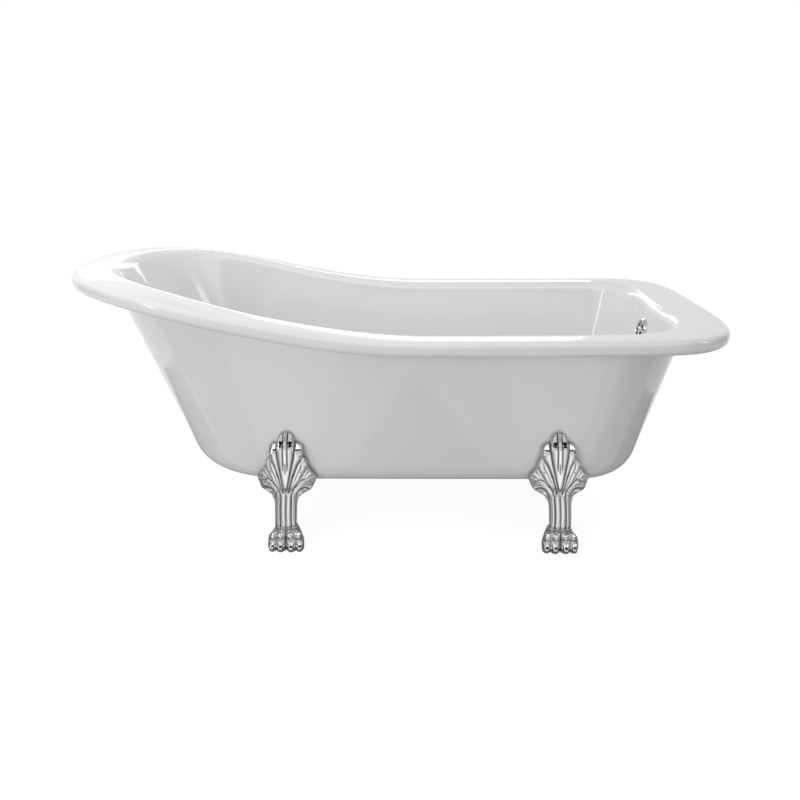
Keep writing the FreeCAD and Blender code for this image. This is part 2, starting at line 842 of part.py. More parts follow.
# below foot_height, share of tip_half_width, share of tip_thickness
TIP_SECTIONS = ((12, 0.8, 1.0), (0, 0.35, 0.7))
# share of a section's superellipse roundness at the sides and at the front and back
SIDE_ROUNDNESS = 0.85
FACE_ROUNDNESS = 0.8
outer_seen = joined(outer_bands())


def wall_half_width(x, height):
    """How far the outer wall stands from the bath's centre line at a place and height."""
    trail = []
    for row in outer_seen:
        half_row = row[: len(row) // 2 + 1]
        for before, after in zip(half_row, half_row[1:]):
            if before.x <= x <= after.x:
                share = (x - before.x) / (after.x - before.x)
                trail.append(before + (after - before) * share)
                break
    for upper, lower in zip(trail, trail[1:]):
        if lower.z <= height <= upper.z:
            share = (height - lower.z) / (upper.z - lower.z)
            return lower.y + (upper.y - lower.y) * share
    return trail[-1].y


def foot_stations(name):
    """Heights, half widths, fronts, backs and toe grooves of a foot's sections, from sole to tip."""
    paw = mm("paw_half_width")
    ankle = mm("ankle_half_width")
    tip = mm("tip_half_width")
    front = foot_line.number + mm("paw_front")
    back = foot_line.number - mm("paw_back")
    ankle_front = foot_line.number + mm("ankle_front")
    ankle_back = foot_line.number - mm("ankle_back")
    top = mm("foot_height")

    def on_wall(height, half, thickness):
        reach = wall_half_width(leaf_station(name).number, height)
        inner = reach + mm("foot_clearance")
        return (height, half, inner + thickness, inner, 0.0)

    stations = []
    for up, wide, front_in, back_in, grooves in PAW_SECTIONS:
        height = max(mm("paw_height") * up, mm("paw_lift"))
        stations.append((height, paw * wide, front - front_in, back + back_in, grooves))
    shoulder = (front + ankle_front) / 2 - SHOULDER_SET_BACK
    heel = (back + ankle_back) / 2
    stations.append((mm("paw_height"), (paw + ankle) / 2 - SHOULDER_SET_IN, shoulder, heel, 0.0))
    for above, wide, front_out, back_out in ANKLE_SECTIONS:
        height = mm("ankle_height") + above
        stations.append((height, ankle * wide, ankle_front + front_out, ankle_back + back_out, 0.0))
    for part, above, wide, thick in LEAF_SECTIONS:
        height = mm(f"{part}_height") + above
        stations.append(on_wall(height, mm(f"{part}_half_width") * wide, mm("leaf_thickness") * thick))
    waist = (mm("leaf_height") + top) / 2 + WAIST_ABOVE
    waist_half = (mm("leaf_half_width") + tip) / 2 * WAIST_WIDTH
    stations.append(on_wall(waist, waist_half, (mm("leaf_thickness") + mm("tip_thickness")) / 2))
    for below, wide, thick in TIP_SECTIONS:
        stations.append(on_wall(top - below, tip * wide, mm("tip_thickness") * thick))
    return stations


def core_stations(name):
    """The hollow behind the ankle and leaf, open at the back."""
    wall = mm("casting_wall")
    low = mm("paw_height")
    high = mm("leaf_height") + mm("tip_half_width")
    back = foot_line.number - mm("ankle_back") - mm("core_reach")
    stations = []
    for height, half, front, casting_back, grooves in foot_stations(name):
        if low < height < high:
            stations.append((height, half - wall, front - wall, back, 0.0))
    return stations


def foot_section(name, height, half, front, back, grooves):
    """One cross section from the middle of its back: a superellipse, with grooves between toes."""
    side = foot_side(name)
    middle_x = lean_at(name, height).number
    middle = (front + back) / 2
    depth = (front - back) / 2
    points = []
    for step in range(SECTION_POINTS):
        turn = 2 * math.pi * step / SECTION_POINTS - math.pi / 2
        x = half * math.copysign(power(abs(math.cos(turn)), SIDE_ROUNDNESS), math.cos(turn))
        y = depth * math.copysign(power(abs(math.sin(turn)), FACE_ROUNDNESS), math.sin(turn))
        if y > 0 and grooves:
            wave = abs(math.cos(math.pi * mm("toe_count") / 2 * (x / half + 1)))
            y -= grooves * mm("toe_depth") * wave * math.sin(turn)
        points.append(Vector(middle_x + x, (middle + y) * side, height))
    curve = Part.BSplineCurve()
    knots = [step / SECTION_POINTS for step in range(SECTION_POINTS + 1)]
    curve.interpolate(Points=points, PeriodicFlag=True, Parameters=knots)
    return Part.Wire([curve.toShape()])


def foot_casting(name):
    """Paw, ankle and leaf as one hollow-backed casting, with its bracket under the bath."""
    solids = []
    for stations, ruled in ((foot_stations(name), False), (core_stations(name), True)):
        wires = [foot_section(name, *station) for station in stations]
        solids.append(Part.makeLoft(wires, True, ruled))
    shelf_top = mm("base_height") - mm("pad_thickness")
    half = mm("shelf_half_width")
    near = shelf_inner_end.number
    far = foot_line.number + mm("ankle_front") - mm("casting_wall") + mm("edge_break")
    corner_y = near if foot_side(name) > 0 else -far
    corner = Vector(lean_at(name, "base_height").number - half, corner_y, shelf_top - mm("shelf_thickness"))
    shelf = Part.makeBox(2 * half, far - near, mm("shelf_thickness"), corner)
    return solids[0].cut(solids[1]).fuse(shelf)


def make_foot(name):
    """A cast foot with its bolt holes and its glide's recess and bore."""
    label = f"foot_{name}"
    casting = feature(f"{label}_casting", foot_casting(name))
    shelf_under = size("base_height") - "pad_thickness" - "shelf_thickness"
    glide = (lean_at(name, 0), foot_line * foot_side(name))
    recess = size("glide_pad_height") + "glide_play"
    recess_radius = size("glide_pad_radius") + "glide_recess_gap"
    bore = size("glide_stud_radius") + "glide_stud_clearance"
    bore_height = recess + "glide_stud_length" + "glide_bore_spare"
    tools = [rod(f"{label}_recess", recess_radius, recess, (*glide, 0))]
    tools.append(rod(f"{label}_bore", bore, bore_height, (*glide, 0)))
    for count, (x, y) in enumerate(bolt_spots(name)):
        hole = size("bolt_radius") + "bolt_clearance"
        depth = size("shelf_thickness") * 3
        start = shelf_under - "edge_break"
        tools.append(rod(f"{label}_bolt_hole_{count}", hole, depth, (x, y, start)))
    node(cut(label, casting, tools), label)


def make_foot_pad(name):
    """The rubber between a foot's bracket and the bath."""
    side = foot_side(name)
    middle = lean_at(name, "base_height")
    ends = (shelf_inner_end, foot_line - "pad_set_in")
    near, far = ends if side > 0 else (-ends[1], -ends[0])
    low = (middle - "shelf_half_width", near, size("base_height") - "pad_thickness")
    high = (middle + "shelf_half_width", far, "base_height")
    tools = []
    for count, (x, y) in enumerate(bolt_spots(name)):
        hole = size("bolt_radius") + "bolt_clearance"
        start = size("base_height") - size("pad_thickness") * HALF
        tools.append(rod(f"pad_{name}_hole_{count}", hole, size("pad_thickness") * 3, (x, y, start)))
    node(cut(f"foot_pad_{name}", block(f"pad_{name}_sheet", low, high), tools), f"foot_pad_{name}")


def make_glide(name):
    """A levelling glide: a pad on a threaded stud, in the sole of a paw."""
    at = (lean_at(name, 0), foot_line * foot_side(name))
    pad_top = size("glide_pad_height")
    radius = size("glide_pad_radius")
    pad = turned(
        f"glide_pad_{name}",
        [
            (0, 0),
            (radius - "edge_break", 0),
            (radius, "edge_break"),
            (radius, pad_top - "edge_break"),
            (radius - "edge_break", pad_top),
            (0, pad_top),
        ],
    )
    place(pad, (*at, 0))
    node(pad, f"glide_pad_{name}")
    radius = size("glide_stud_radius")
    length = size("glide_stud_length")
    stud = turned(
        f"glide_stud_{name}",
        [
            (0, 0),
            (radius, 0),
            (radius, length - "edge_break"),
            (radius - "edge_break", length),
            (0, length),
        ],
    )
    place(stud, (*at, pad_top))
    node(stud, f"glide_stud_{name}")


def make_bolts():
    """Bolts, washers and the board's threaded inserts: two of each to a foot."""
    shelf_under = size("base_height") - "pad_thickness" - "shelf_thickness"
    washer_under = shelf_under - "washer_thickness"
    bolts = []
    washers = []
    inserts = []
    for count, (x, y) in enumerate(ALL_BOLTS):
        head_at = (x, y, washer_under - "bolt_head_height")
        head = prism(f"bolt_head_{count}", "bolt_head_flats", "bolt_head_height", head_at)
        shank = rod(f"bolt_shank_{count}", "bolt_radius", "bolt_length", (x, y, washer_under))
        bolts.append(fuse(f"bolt_{count}", [head, shank]))
        bore = size("bolt_radius") + "bolt_clearance"
        at = (x, y, washer_under)
        washers.append(tube(f"washer_{count}", "washer_radius", bore, "washer_thickness", at))
        at = (x, y, base_top)
        inserts.append(tube(f"insert_{count}", "insert_radius", "bolt_radius", "insert_length", at))
    node(group("foot_bolts", bolts), "foot_bolts")
    node(group("foot_washers", washers), "foot_washers")
    node(group("board_inserts", inserts), "board_inserts")


# ---------------------------------------------------------------------------------------------
# Waste with its pop-up plug
# ---------------------------------------------------------------------------------------------

flange_seat = size("waste_seal_thickness")
flange_top = flange_seat + "waste_flange_thickness"


def at_waste(thing, label):
    """Put a turned piece on the waste's axis, its nought at the floor of the well."""
    place(thing, (waste_x, 0, well_floor))
    return node(thing, label)


def make_waste_rings():
    """The flange with its threaded tube, and the rubber above and below the floor."""
    radius = size("waste_flange_radius")
    flange = turned(
        "waste_flange",
        [
            ("waste_bore_radius", flange_top),
            (radius - "waste_flange_thickness", flange_top),
            (radius, flange_seat + "edge_break"),
            (radius, flange_seat),
            ("waste_tube_radius", flange_seat),
            ("waste_tube_radius", -size("waste_tube_length")),
            ("waste_bore_radius", -size("waste_tube_length")),
        ],
    )
    at_waste(flange, "waste_flange")
    seal = turned(
        "waste_seal",
        [
            ("waste_tube_radius", 0),
            ("waste_seal_radius", 0),
            ("waste_seal_radius", flange_seat),
            ("waste_tube_radius", flange_seat),
        ],
    )
    at_waste(seal, "waste_seal")
    under = -size("inner_skin_thickness")
    gasket_under = under - "waste_gasket_thickness"
    gasket = turned(
        "waste_gasket",
        [
            ("waste_tube_radius", gasket_under),
            ("waste_gasket_radius", gasket_under),
            ("waste_gasket_radius", under),
            ("waste_tube_radius", under),
        ],
    )
    at_waste(gasket, "waste_gasket")
    return gasket_under


def make_waste_body(top):
    """The body under the floor: collar, chamber with the overflow inlet, and threaded tail."""
    collar_under = top - "waste_collar_thickness"
    chamber_under = top - "waste_body_length"
    tail_under = chamber_under - "waste_tail_length"
    tube_end = -size("waste_tube_length")
    shell = turned(
        "waste_chamber",
        [
            ("waste_tube_radius", top),
            ("waste_collar_radius", top),
            ("waste_collar_radius", collar_under),
            ("waste_body_radius", collar_under),
            ("waste_body_radius", chamber_under),
            ("waste_tail_radius", chamber_under),
            ("waste_tail_radius", tail_under),
            ("waste_bore_radius", tail_under),
            ("waste_bore_radius", tube_end),
            ("waste_tube_radius", tube_end),
        ],
    )
    place(shell, (waste_x, 0, well_floor))
    height = size("base_height") - "inlet_drop"
    reach = size("inlet_reach")
    start = (size("waste_body_radius") + "waste_bore_radius") / HALF
    inlet = lying_rod("inlet_wall", "spigot_radius", reach - start, (waste_x + start, 0, height))
    inside = size("waste_bore_radius") * 0.75
    passage = lying_rod("inlet_bore", "spigot_bore", reach, (waste_x + inside, 0, height))
    body = fuse("waste_shell", [shell, inlet])
    node(cut("waste_body", body, [passage]), "waste_body")
    return waste_x + reach, height


def lying_rod(name, radius, length, at):
    """A cylinder along +X."""
    thing = rod(name, radius, length, at)
    thing.Placement.Rotation = Rotation(Vector(0, 1, 0), 90)
    return thing


def make_plug():
    """The pop-up plug with its seal and stem, and the guide the stem slides in."""
    seat = flange_top + "plug_seat_gap"
    under = seat + "plug_seal_thickness"
    top = under + "plug_thickness"
    stem_top = under + size("plug_thickness") * 0.5
    radius = size("plug_radius")
    cap = turned(
        "plug_cap",
        [
            ("plug_stem_radius", under),
            (radius - "edge_break", under),
            (radius, under + "edge_break"),
            (radius, top - "edge_break"),
            (radius - size("edge_break") * 2, top),
            (radius * 0.5, top + size("plug_crown") * 0.75),
            (0, top + "plug_crown"),
            (0, stem_top),
            ("plug_stem_radius", stem_top),
        ],
    )
    at_waste(cap, "plug_cap")
    seal = turned(
        "plug_seal",
        [
            ("plug_seal_bore", seat),
            ("plug_seal_radius", seat),
            ("plug_seal_radius", under),
            ("plug_seal_bore", under),
        ],
    )
    at_waste(seal, "plug_seal")
    stem_under = top - "plug_stem_length"
    stem = turned(
        "plug_stem",
        [
            (0, stem_under),
            (size("plug_stem_radius") - "edge_break", stem_under),
            ("plug_stem_radius", stem_under + "edge_break"),
            ("plug_stem_radius", stem_top),
            (0, stem_top),
        ],
    )
    at_waste(stem, "plug_stem")
    guide_low = well_floor + flange_seat - size("guide_drop") - "guide_height"
    at = (waste_x, 0, guide_low)
    reach = size("waste_bore_radius")
    bar_reach = reach - size("guide_ring_width") / HALF
    half_bar = size("guide_bar_width") / HALF
    guide_high = guide_low + "guide_height"
    bars = []
    for name, along_x, along_y in (("long", bar_reach, half_bar), ("cross", half_bar, bar_reach)):
        low = (waste_x - along_x, -along_y, guide_low)
        high = (waste_x + along_x, along_y, guide_high)
        bars.append(block(f"guide_bar_{name}", low, high))
    ring = tube("guide_ring", reach, reach - "guide_ring_width", "guide_height", at)
    hub = rod("guide_hub", "guide_hub_radius", "guide_height", at)
    bore_radius = size("plug_stem_radius") + "plug_guide_clearance"
    bore = rod("guide_bore", bore_radius, size("guide_height") * HALF, (waste_x, 0, guide_low - half_bar))
    node(cut("plug_guide", fuse("guide", [ring, hub, *bars]), [bore]), "plug_guide")


# ---------------------------------------------------------------------------------------------
# Overflow
# ---------------------------------------------------------------------------------------------


def make_overflow_cover():
    """The domed cover with its openings between cross bars, and the screw through its hub."""
    radius = size("cover_radius")
    rim = radius - "cover_rim_width"
    shell = turned(
        "cover_dome",
        [
            (0, "skin_play"),
            (radius, "skin_play"),
            (radius, size("cover_height") * 0.35),
            (radius - size("cover_rim_width") * 0.3, size("cover_height") * 0.8),
            (radius - size("cover_rim_width") * 0.65, "cover_height"),
            (rim, size("cover_height") * 0.85),
            (rim - "edge_break", "cover_web_height"),
            ("cover_hub_radius", "cover_web_height"),
            (size("cover_hub_radius") - "edge_break", "cover_hub_height"),
            (0, "cover_hub_height"),
        ],
    )
    depth = size("cover_height") * HALF
    reach = rim - size("edge_break") * 2
    tools = [rod("cover_screw_hole", "overflow_screw_radius", depth)]
    for quarter in range(4):
        sector = rod(f"cover_sector_{quarter}", reach, depth, angle="cover_slot_angle")
        core = rod(f"cover_core_{quarter}", "cover_hub_radius", depth)
        slot = cut(f"cover_slot_{quarter}", sector, [core])
        turn = 90 * quarter + (90 - mm("cover_slot_angle")) / 2
        slot.Placement = Placement(Vector(), Rotation(UP, turn))
        tools.append(slot)
    node(on_overflow(cut("overflow_cover", shell, [fuse("cover_openings", tools)])), "overflow_cover")


def make_overflow_screw(boss_back):
    """The screw that clamps cover and elbow to the wall."""
    head_under = size("cover_hub_height")
    shank_end = boss_back + "elbow_wall"
    head = size("overflow_screw_head")
    screw = turned(
        "overflow_screw",
        [
            (0, shank_end),
            ("overflow_screw_radius", shank_end),
            ("overflow_screw_radius", head_under),
            (head, head_under),
            (head, head_under + size("overflow_screw_rise") * 0.25),
            (head * 0.6, head_under + size("overflow_screw_rise") * 0.8),
            (0, head_under + "overflow_screw_rise"),
        ],
    )
    node(on_overflow(screw), "overflow_screw")


def make_overflow_gasket():
    """The rubber ring between the wall's back and the elbow."""
    front = -size("inner_skin_thickness") - "skin_play"
    back = front - "overflow_gasket_thickness"
    ring = turned(
        "overflow_gasket",
        [
            ("overflow_hole_radius", back),
            ("elbow_radius", back),
            ("elbow_radius", front),
            ("overflow_hole_radius", front),
        ],
    )
    node(on_overflow(ring), "overflow_gasket")
    return back


def make_overflow_elbow(front):
    """The shallow chamber behind the wall, with its screw boss and the spigot for the hose."""
    back = front - "elbow_depth"
    wall = size("elbow_wall")
    chamber = turned(
        "elbow_chamber",
        [
            ("overflow_screw_radius", back),
            ("elbow_radius", back),
            ("elbow_radius", front),
            (size("elbow_radius") - wall * 2, front),
            (size("elbow_radius") - wall, front - wall),
            (size("elbow_radius") - wall, back + wall),
            ("elbow_boss_radius", back + wall),
            ("elbow_boss_radius", front),
            ("overflow_screw_radius", front),
        ],
    )
    middle = (front + back) / HALF
    start = size("elbow_radius") - wall / HALF
    spigot = rod("elbow_spigot", "spigot_radius", size("spigot_reach") - start)
    bore = rod("elbow_spigot_bore", "spigot_bore", size("spigot_reach") - "elbow_boss_radius")
    for thing, reach in ((spigot, start), (bore, size("elbow_boss_radius") + "edge_break")):
        thing.Placement = Placement(Vector(0, -reach.number, middle.number), Rotation(UP, Vector(0, -1, 0)))
    whole = fuse("overflow_elbow", [chamber, spigot])
    node(on_overflow(cut("overflow_elbow", whole, [bore])), "overflow_elbow")
    return overflow_at + wall_out * middle.number, back


# the hose's corners: beyond and above its hole in the base, then back from the hole above the inlet
HOSE_DROP = ((62, 175), (24, 62), (4, 10))
HOSE_TURN = ((14, 8), (47, 0))


def blended_path(points, share=0.45):
    """Straight runs joined by tangent arcs, each as large as its runs allow."""
    edges = []
    last = points[0]
    for before, corner, after in zip(points, points[1:], points[2:]):
        into = (corner - before).normalize()
        out = (after - corner).normalize()
        turn = into.getAngle(out)
        run = min((corner - before).Length, (after - corner).Length) * share
        radius = run / math.tan(turn / 2)
        start = corner - into * run
        stop = corner + out * run
        toward = (out - into).normalize()
        middle = corner + toward * (radius / math.cos(turn / 2) - radius)
        edges.append(Part.LineSegment(last, start).toShape())
        edges.append(Part.Arc(start, middle, stop).toShape())
        last = stop
    edges.append(Part.LineSegment(last, points[-1]).toShape())
    return Part.Wire(edges)


def make_hose(elbow_middle, inlet_end, inlet_height):
    """The overflow hose: down the cavity, out through the base and into the waste's inlet."""
    lap = mm("hose_lap")
    top = elbow_middle - wall_up * (mm("spigot_reach") - lap)
    below = top - wall_up * lap * 3
    exit_x = hose_x.number
    end = Vector(inlet_end.number - lap, 0, inlet_height.number)
    route = [top, below]
    route += [Vector(exit_x + out, 0, mm("base_height") + up) for out, up in HOSE_DROP]
    route += [Vector(exit_x - back, 0, inlet_height.number + up) for back, up in HOSE_TURN]
    route.append(end)
    path = blended_path(route)
    profiles = []
    for radius in (mm("hose_radius"), mm("spigot_radius")):
        circle = Part.Wire([Part.Circle(top, wall_up, radius).toShape()])
        profiles.append(path.makePipeShell([circle], True, False))
    hose = profiles[0].cut(profiles[1])
    section = math.pi * (mm("hose_radius") ** 2 - mm("spigot_radius") ** 2)
    print("hose volume over section times length", round(hose.Volume / section / path.Length, 4))
    node(feature("overflow_hose", hose), "overflow_hose")


# ---------------------------------------------------------------------------------------------
# The bath
# ---------------------------------------------------------------------------------------------


def build():
    """Make every sub-part."""
    make_inner_skin()
    make_outer_skin()
    make_board()
    make_bearers()
    for name in FOOT_NAMES:
        make_foot(name)
        make_foot_pad(name)
        make_glide(name)
    make_bolts()
    gasket_under = make_waste_rings()
    inlet_end, inlet_height = make_waste_body(gasket_under)
    make_plug()
    make_overflow_cover()
    gasket_back = make_overflow_gasket()
    elbow_middle, elbow_back = make_overflow_elbow(gasket_back)
    make_overflow_screw(elbow_back)
    make_hose(elbow_middle, inlet_end, inlet_height)


def check_and_write():
    """Stop on any failed object, then write each sub-part to its own file."""
    doc.recompute()
    for thing in doc.Objects:
        if "Invalid" in thing.State or "Error" in thing.State:
            raise RuntimeError(f"{thing.Name} failed: {thing.State}")
    for thing in nodes:
        if thing.Shape.isNull() or not thing.Shape.isValid():
            raise RuntimeError(f"{thing.Label} has no valid shape")
    os.makedirs("parts", exist_ok=True)
    for thing in nodes:
        thing.Shape.exportStep(f"parts/{thing.Label}.step")
        print(f"{thing.Label}: {len(thing.Shape.Solids)} solid, {thing.Shape.Volume / 1000:.1f} cm3")


build()
check_and_write()
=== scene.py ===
"""Looks of a slipper bath on four claw feet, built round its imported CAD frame.

Metres, +Z up.  The raised head end is at -X, the waste (tap) end at +X, the viewer's side at -Y.
"""

import json
import math

import bpy
import numpy as np
from bpy.props import FloatProperty, FloatVectorProperty, PointerProperty
from bpy.types import Operator, Panel, PropertyGroup
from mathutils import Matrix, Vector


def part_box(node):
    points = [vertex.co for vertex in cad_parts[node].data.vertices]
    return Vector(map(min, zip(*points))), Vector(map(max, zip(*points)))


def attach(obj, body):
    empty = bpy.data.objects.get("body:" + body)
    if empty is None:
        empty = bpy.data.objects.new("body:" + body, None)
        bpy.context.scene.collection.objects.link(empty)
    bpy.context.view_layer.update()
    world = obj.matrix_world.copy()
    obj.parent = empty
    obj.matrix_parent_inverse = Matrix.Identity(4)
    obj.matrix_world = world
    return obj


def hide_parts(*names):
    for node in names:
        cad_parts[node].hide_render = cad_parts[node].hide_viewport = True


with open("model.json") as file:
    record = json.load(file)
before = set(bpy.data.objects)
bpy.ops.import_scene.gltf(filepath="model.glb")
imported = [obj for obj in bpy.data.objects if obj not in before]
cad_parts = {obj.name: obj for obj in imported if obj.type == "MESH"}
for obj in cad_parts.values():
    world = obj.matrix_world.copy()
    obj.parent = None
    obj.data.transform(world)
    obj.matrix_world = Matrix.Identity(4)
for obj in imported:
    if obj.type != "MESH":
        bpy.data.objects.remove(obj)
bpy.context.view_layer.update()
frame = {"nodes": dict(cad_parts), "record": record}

bl_info = {
    "name": "Slipper bath on claw feet",
    "version": (1, 0, 0),
    "blender": (4, 5, 0),
    "location": "3D View > Sidebar > Bath",
    "description": "Builds a double-skinned slipper bath with its carved feet, waste and overflow",
    "category": "Add Mesh",
}

MM = 0.001
BATH = "bath"

# ---------------------------------------------------------------------------------------------
# Surfaces on grids
# ---------------------------------------------------------------------------------------------


def grid_quads(rows, columns, close_rows=False, close_columns=True):
    """Four-cornered faces between neighbouring points of a grid, first index down, second across."""
    row, column = np.meshgrid(
        np.arange(rows if close_rows else rows - 1),
        np.arange(columns if close_columns else columns - 1),
        indexing="ij",
    )
    below = (row + 1) % rows
    beside = (column + 1) % columns
    corners = (
        row * columns + column,
        row * columns + beside,
        below * columns + beside,
        below * columns + column,
    )
    return np.stack(corners, axis=-1).reshape(-1, 4)


def volume_sign(points, quads):
    """Sign of a closed surface's volume: positive where its faces point outwards."""
    middle = points.mean(axis=0)
    a, b, c, d = (points[quads[:, k]] - middle for k in range(4))
    return np.sign(np.sum(np.cross(a, b) * c) + np.sum(np.cross(a, c) * d))


def ring_stack(grid):
    """A closed solid from a stack of rings, (rings, points round, 3): each end shuts in a small cap.

    The last ring of each end is drawn to its own middle, so the pole is one shared point.
    """
    rings, around, _ = grid.shape
    points = grid.reshape(-1, 3)
    poles = np.stack([grid[0].mean(axis=0), grid[-1].mean(axis=0)])
    quads = grid_quads(rings, around)
    start = np.arange(around)
    after = (start + 1) % around
    first_pole = len(points)
    last = (rings - 1) * around
    fans = np.concatenate(
        [
            np.stack([after, start, np.full(around, first_pole)], axis=1),
            np.stack([last + start, last + after, np.full(around, first_pole + 1)], axis=1),
        ]
    )
    points = np.concatenate([points, poles])
    if volume_sign(points, quads) < 0:
        quads = quads[:, ::-1]
        fans = fans[:, ::-1]
    return points, quads, fans


def hoop_stack(grid):
    """A closed solid from rings whose last meets the first, as a ring-shaped skin does."""
    rings, around, _ = grid.shape
    points = grid.reshape(-1, 3)
    quads = grid_quads(rings, around, close_rows=True)
    if volume_sign(points, quads) < 0:
        quads = quads[:, ::-1]
    return points, quads, np.zeros((0, 3), int)


def mesh_of(name, solids):
    """One mesh from closed solids, each given as (points, quads, fans)."""
    points, faces, offset = [], [], 0
    for corners, quads, fans in solids:
        points.append(corners)
        faces += (quads + offset).tolist() + (fans + offset).tolist()
        offset += len(corners)
    mesh = bpy.data.meshes.new(name)
    mesh.from_pydata(np.concatenate(points).tolist(), [], faces)
    return mesh


def piece(name, solids, material, body, replaced=(), crease_shade=None):
    """One smooth-shaded object from closed solids, riding on a CAD body.

    The optional last argument gives a number for each point of the first solid, kept as a point attribute
    that the material turns into painted shade in the grooves.
    """
    mesh = mesh_of(name, solids)
    mesh.polygons.foreach_set("use_smooth", np.ones(len(mesh.polygons), bool))
    mesh.materials.append(material)
    # Painted shade: a mask of the carving's grooves, which the material darkens.
    if crease_shade is not None:
        values = np.zeros(len(mesh.vertices), np.float32)
        values[: len(crease_shade)] = crease_shade
        mesh.attributes.new("recess", "FLOAT", "POINT").data.foreach_set("value", values)
    mesh.update()
    thing = bpy.data.objects.new(name, mesh)
    bpy.context.scene.collection.objects.link(thing)
    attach(thing, body)
    if replaced:
        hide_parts(*replaced)
    return thing


def curve_through(share, knots, values):
    """A smooth curve through hand-set values at rising knots (Catmull-Rom), read at shares 0 to 1."""
    knots = np.asarray(knots, float)
    values = np.asarray(values, float)
    slopes = np.gradient(values, knots, axis=0)
    index = np.clip(np.searchsorted(knots, share, side="right") - 1, 0, len(knots) - 2)
    span = knots[index + 1] - knots[index]
    t = (share - knots[index]) / span
    if values.ndim > 1:
        t = t[:, None]
        span = span[:, None]
    before, after = values[index], values[index + 1]
    return (
        before * (2 * t**3 - 3 * t**2 + 1)
        + slopes[index] * span * (t**3 - 2 * t**2 + t)
        + after * (3 * t**2 - 2 * t**3)
        + slopes[index + 1] * span * (t**3 - t**2)
    )


# ---------------------------------------------------------------------------------------------
# Outlines and skins of the bath
# ---------------------------------------------------------------------------------------------

HEAD_POINTS = 70
SIDE_POINTS = 60
CORNER_POINTS = 60
END_POINTS = 12
HOLE_POINTS = 64

# Shares of the length over which the rim climbs, and of the climb's level start at the head.
RISE_SHARE = 0.54
RISE_LEAD = 0.02
RIM_DIP = 0.007
TAP_NARROWING = 0.9775
# Section of the rim and the well.
RIM_NOSE = 0.015
RIM_DEPTH = 0.038
RIM_RETURN = 0.031
RIM_CROWN = 0.0008
RIM_ROLL = 0.026
ROLL_INSET = 0.0208
FLOOR_FILLET = 0.080
WASTE_HOLE_RADIUS = 0.026
# Section of the outer skin.
FLANGE_INSET = 0.022
BOND_GAP = 0.0006
SHOULDER_FILLET = 0.012
BASE_FILLET = 0.072
BASE_PASSAGE_RADIUS = 0.046
# Holes: the overflow's along its own axis, and the hose's in the base.
OVERFLOW_RADIUS = 0.021
OVERFLOW_AXIS = (0.975, 0, -0.222)
HOSE_X = 0.622
HOSE_HOLE_RADIUS = 0.022
# Plan outlines: inset at the head, the tap and the sides, then the length and squareness of the
# head, and the size and squareness of the corners.  An inset of the sides is from the rim's edge.
WELL_PLAN = (0.085, 0.112, 0.062, 0.440, 2.4, 0.200, 2.8)
WALL_PLAN = (0.100, 0.076, 0.050, 0.430, 2.4, 0.270, 2.2)
RIM_PLAN = (0, 0, 0, 0.510, 2.457, 0.330, 3.74)
# The same for the two floors, whose sides are given by their half width instead.
FLOOR_PLAN = (0.350, 0.225, 0.205, 0.240, 2.3, 0.120, 2.4)
BASE_PLAN = (0.288, 0.184, 0.262, 0.300, 2.3, 0.190, 2.2)


def quarter_turn(across, along, exponent, steps):
    """Quarter of a superellipse |x/a|^n + |y/b|^n = 1, in steps of equal length."""
    turn = np.linspace(0, math.pi / 2, 60 * steps)
    x = across * np.maximum(np.cos(turn), 0) ** (2 / exponent)
    y = along * np.maximum(np.sin(turn), 0) ** (2 / exponent)
    length = np.concatenate([[0], np.cumsum(np.hypot(np.diff(x), np.diff(y)))])
    even = np.linspace(0, length[-1], steps + 1)
    return np.stack([np.interp(even, length, x), np.interp(even, length, y)], axis=1)


def outline(head, tap, side, tap_side, reach, head_power, corner, corner_power):
    """Closed plan outline: superellipse head, sides that taper as a square, superellipse corners."""
    start = head + reach
    stop = tap - corner
    nose = quarter_turn(reach, side, head_power, HEAD_POINTS) * (-1, 1) + (start, 0)
    share = np.arange(1, SIDE_POINTS) / SIDE_POINTS
    flank = np.stack([start + (stop - start) * share, side + (tap_side - side) * share**2], axis=1)
    bend = quarter_turn(corner, corner, corner_power, CORNER_POINTS)[::-1] + (stop, tap_side - corner)
    share = np.arange(1, END_POINTS + 1) / END_POINTS
    end = np.stack([np.full(END_POINTS, tap), (tap_side - corner) * (1 - share)], axis=1)
    half = np.concatenate([nose, flank, bend, end])
    return np.concatenate([half, half[-2:0:-1] * (1, -1)])


def towards(start, stop, distance):
    """Points moved a distance from start towards stop."""
    gap = stop - start
    return start + gap / np.linalg.norm(gap, axis=1, keepdims=True) * distance


def lift(plan, heights):
    """A plan outline at its heights."""
    return np.column_stack([plan, np.broadcast_to(heights, len(plan))])


def straight(start, stop, steps):
    """Levels in even steps from start to stop, the last left out."""
    share = np.arange(steps)[:, None, None] / steps
    return start * (1 - share) + stop * share


def bent(start, corner, stop, steps):
    """Levels along the parabola that start and stop draw towards a corner, the last left out."""
    share = np.arange(steps)[:, None, None] / steps
    return start * (1 - share) ** 2 + corner * 2 * share * (1 - share) + stop * share**2


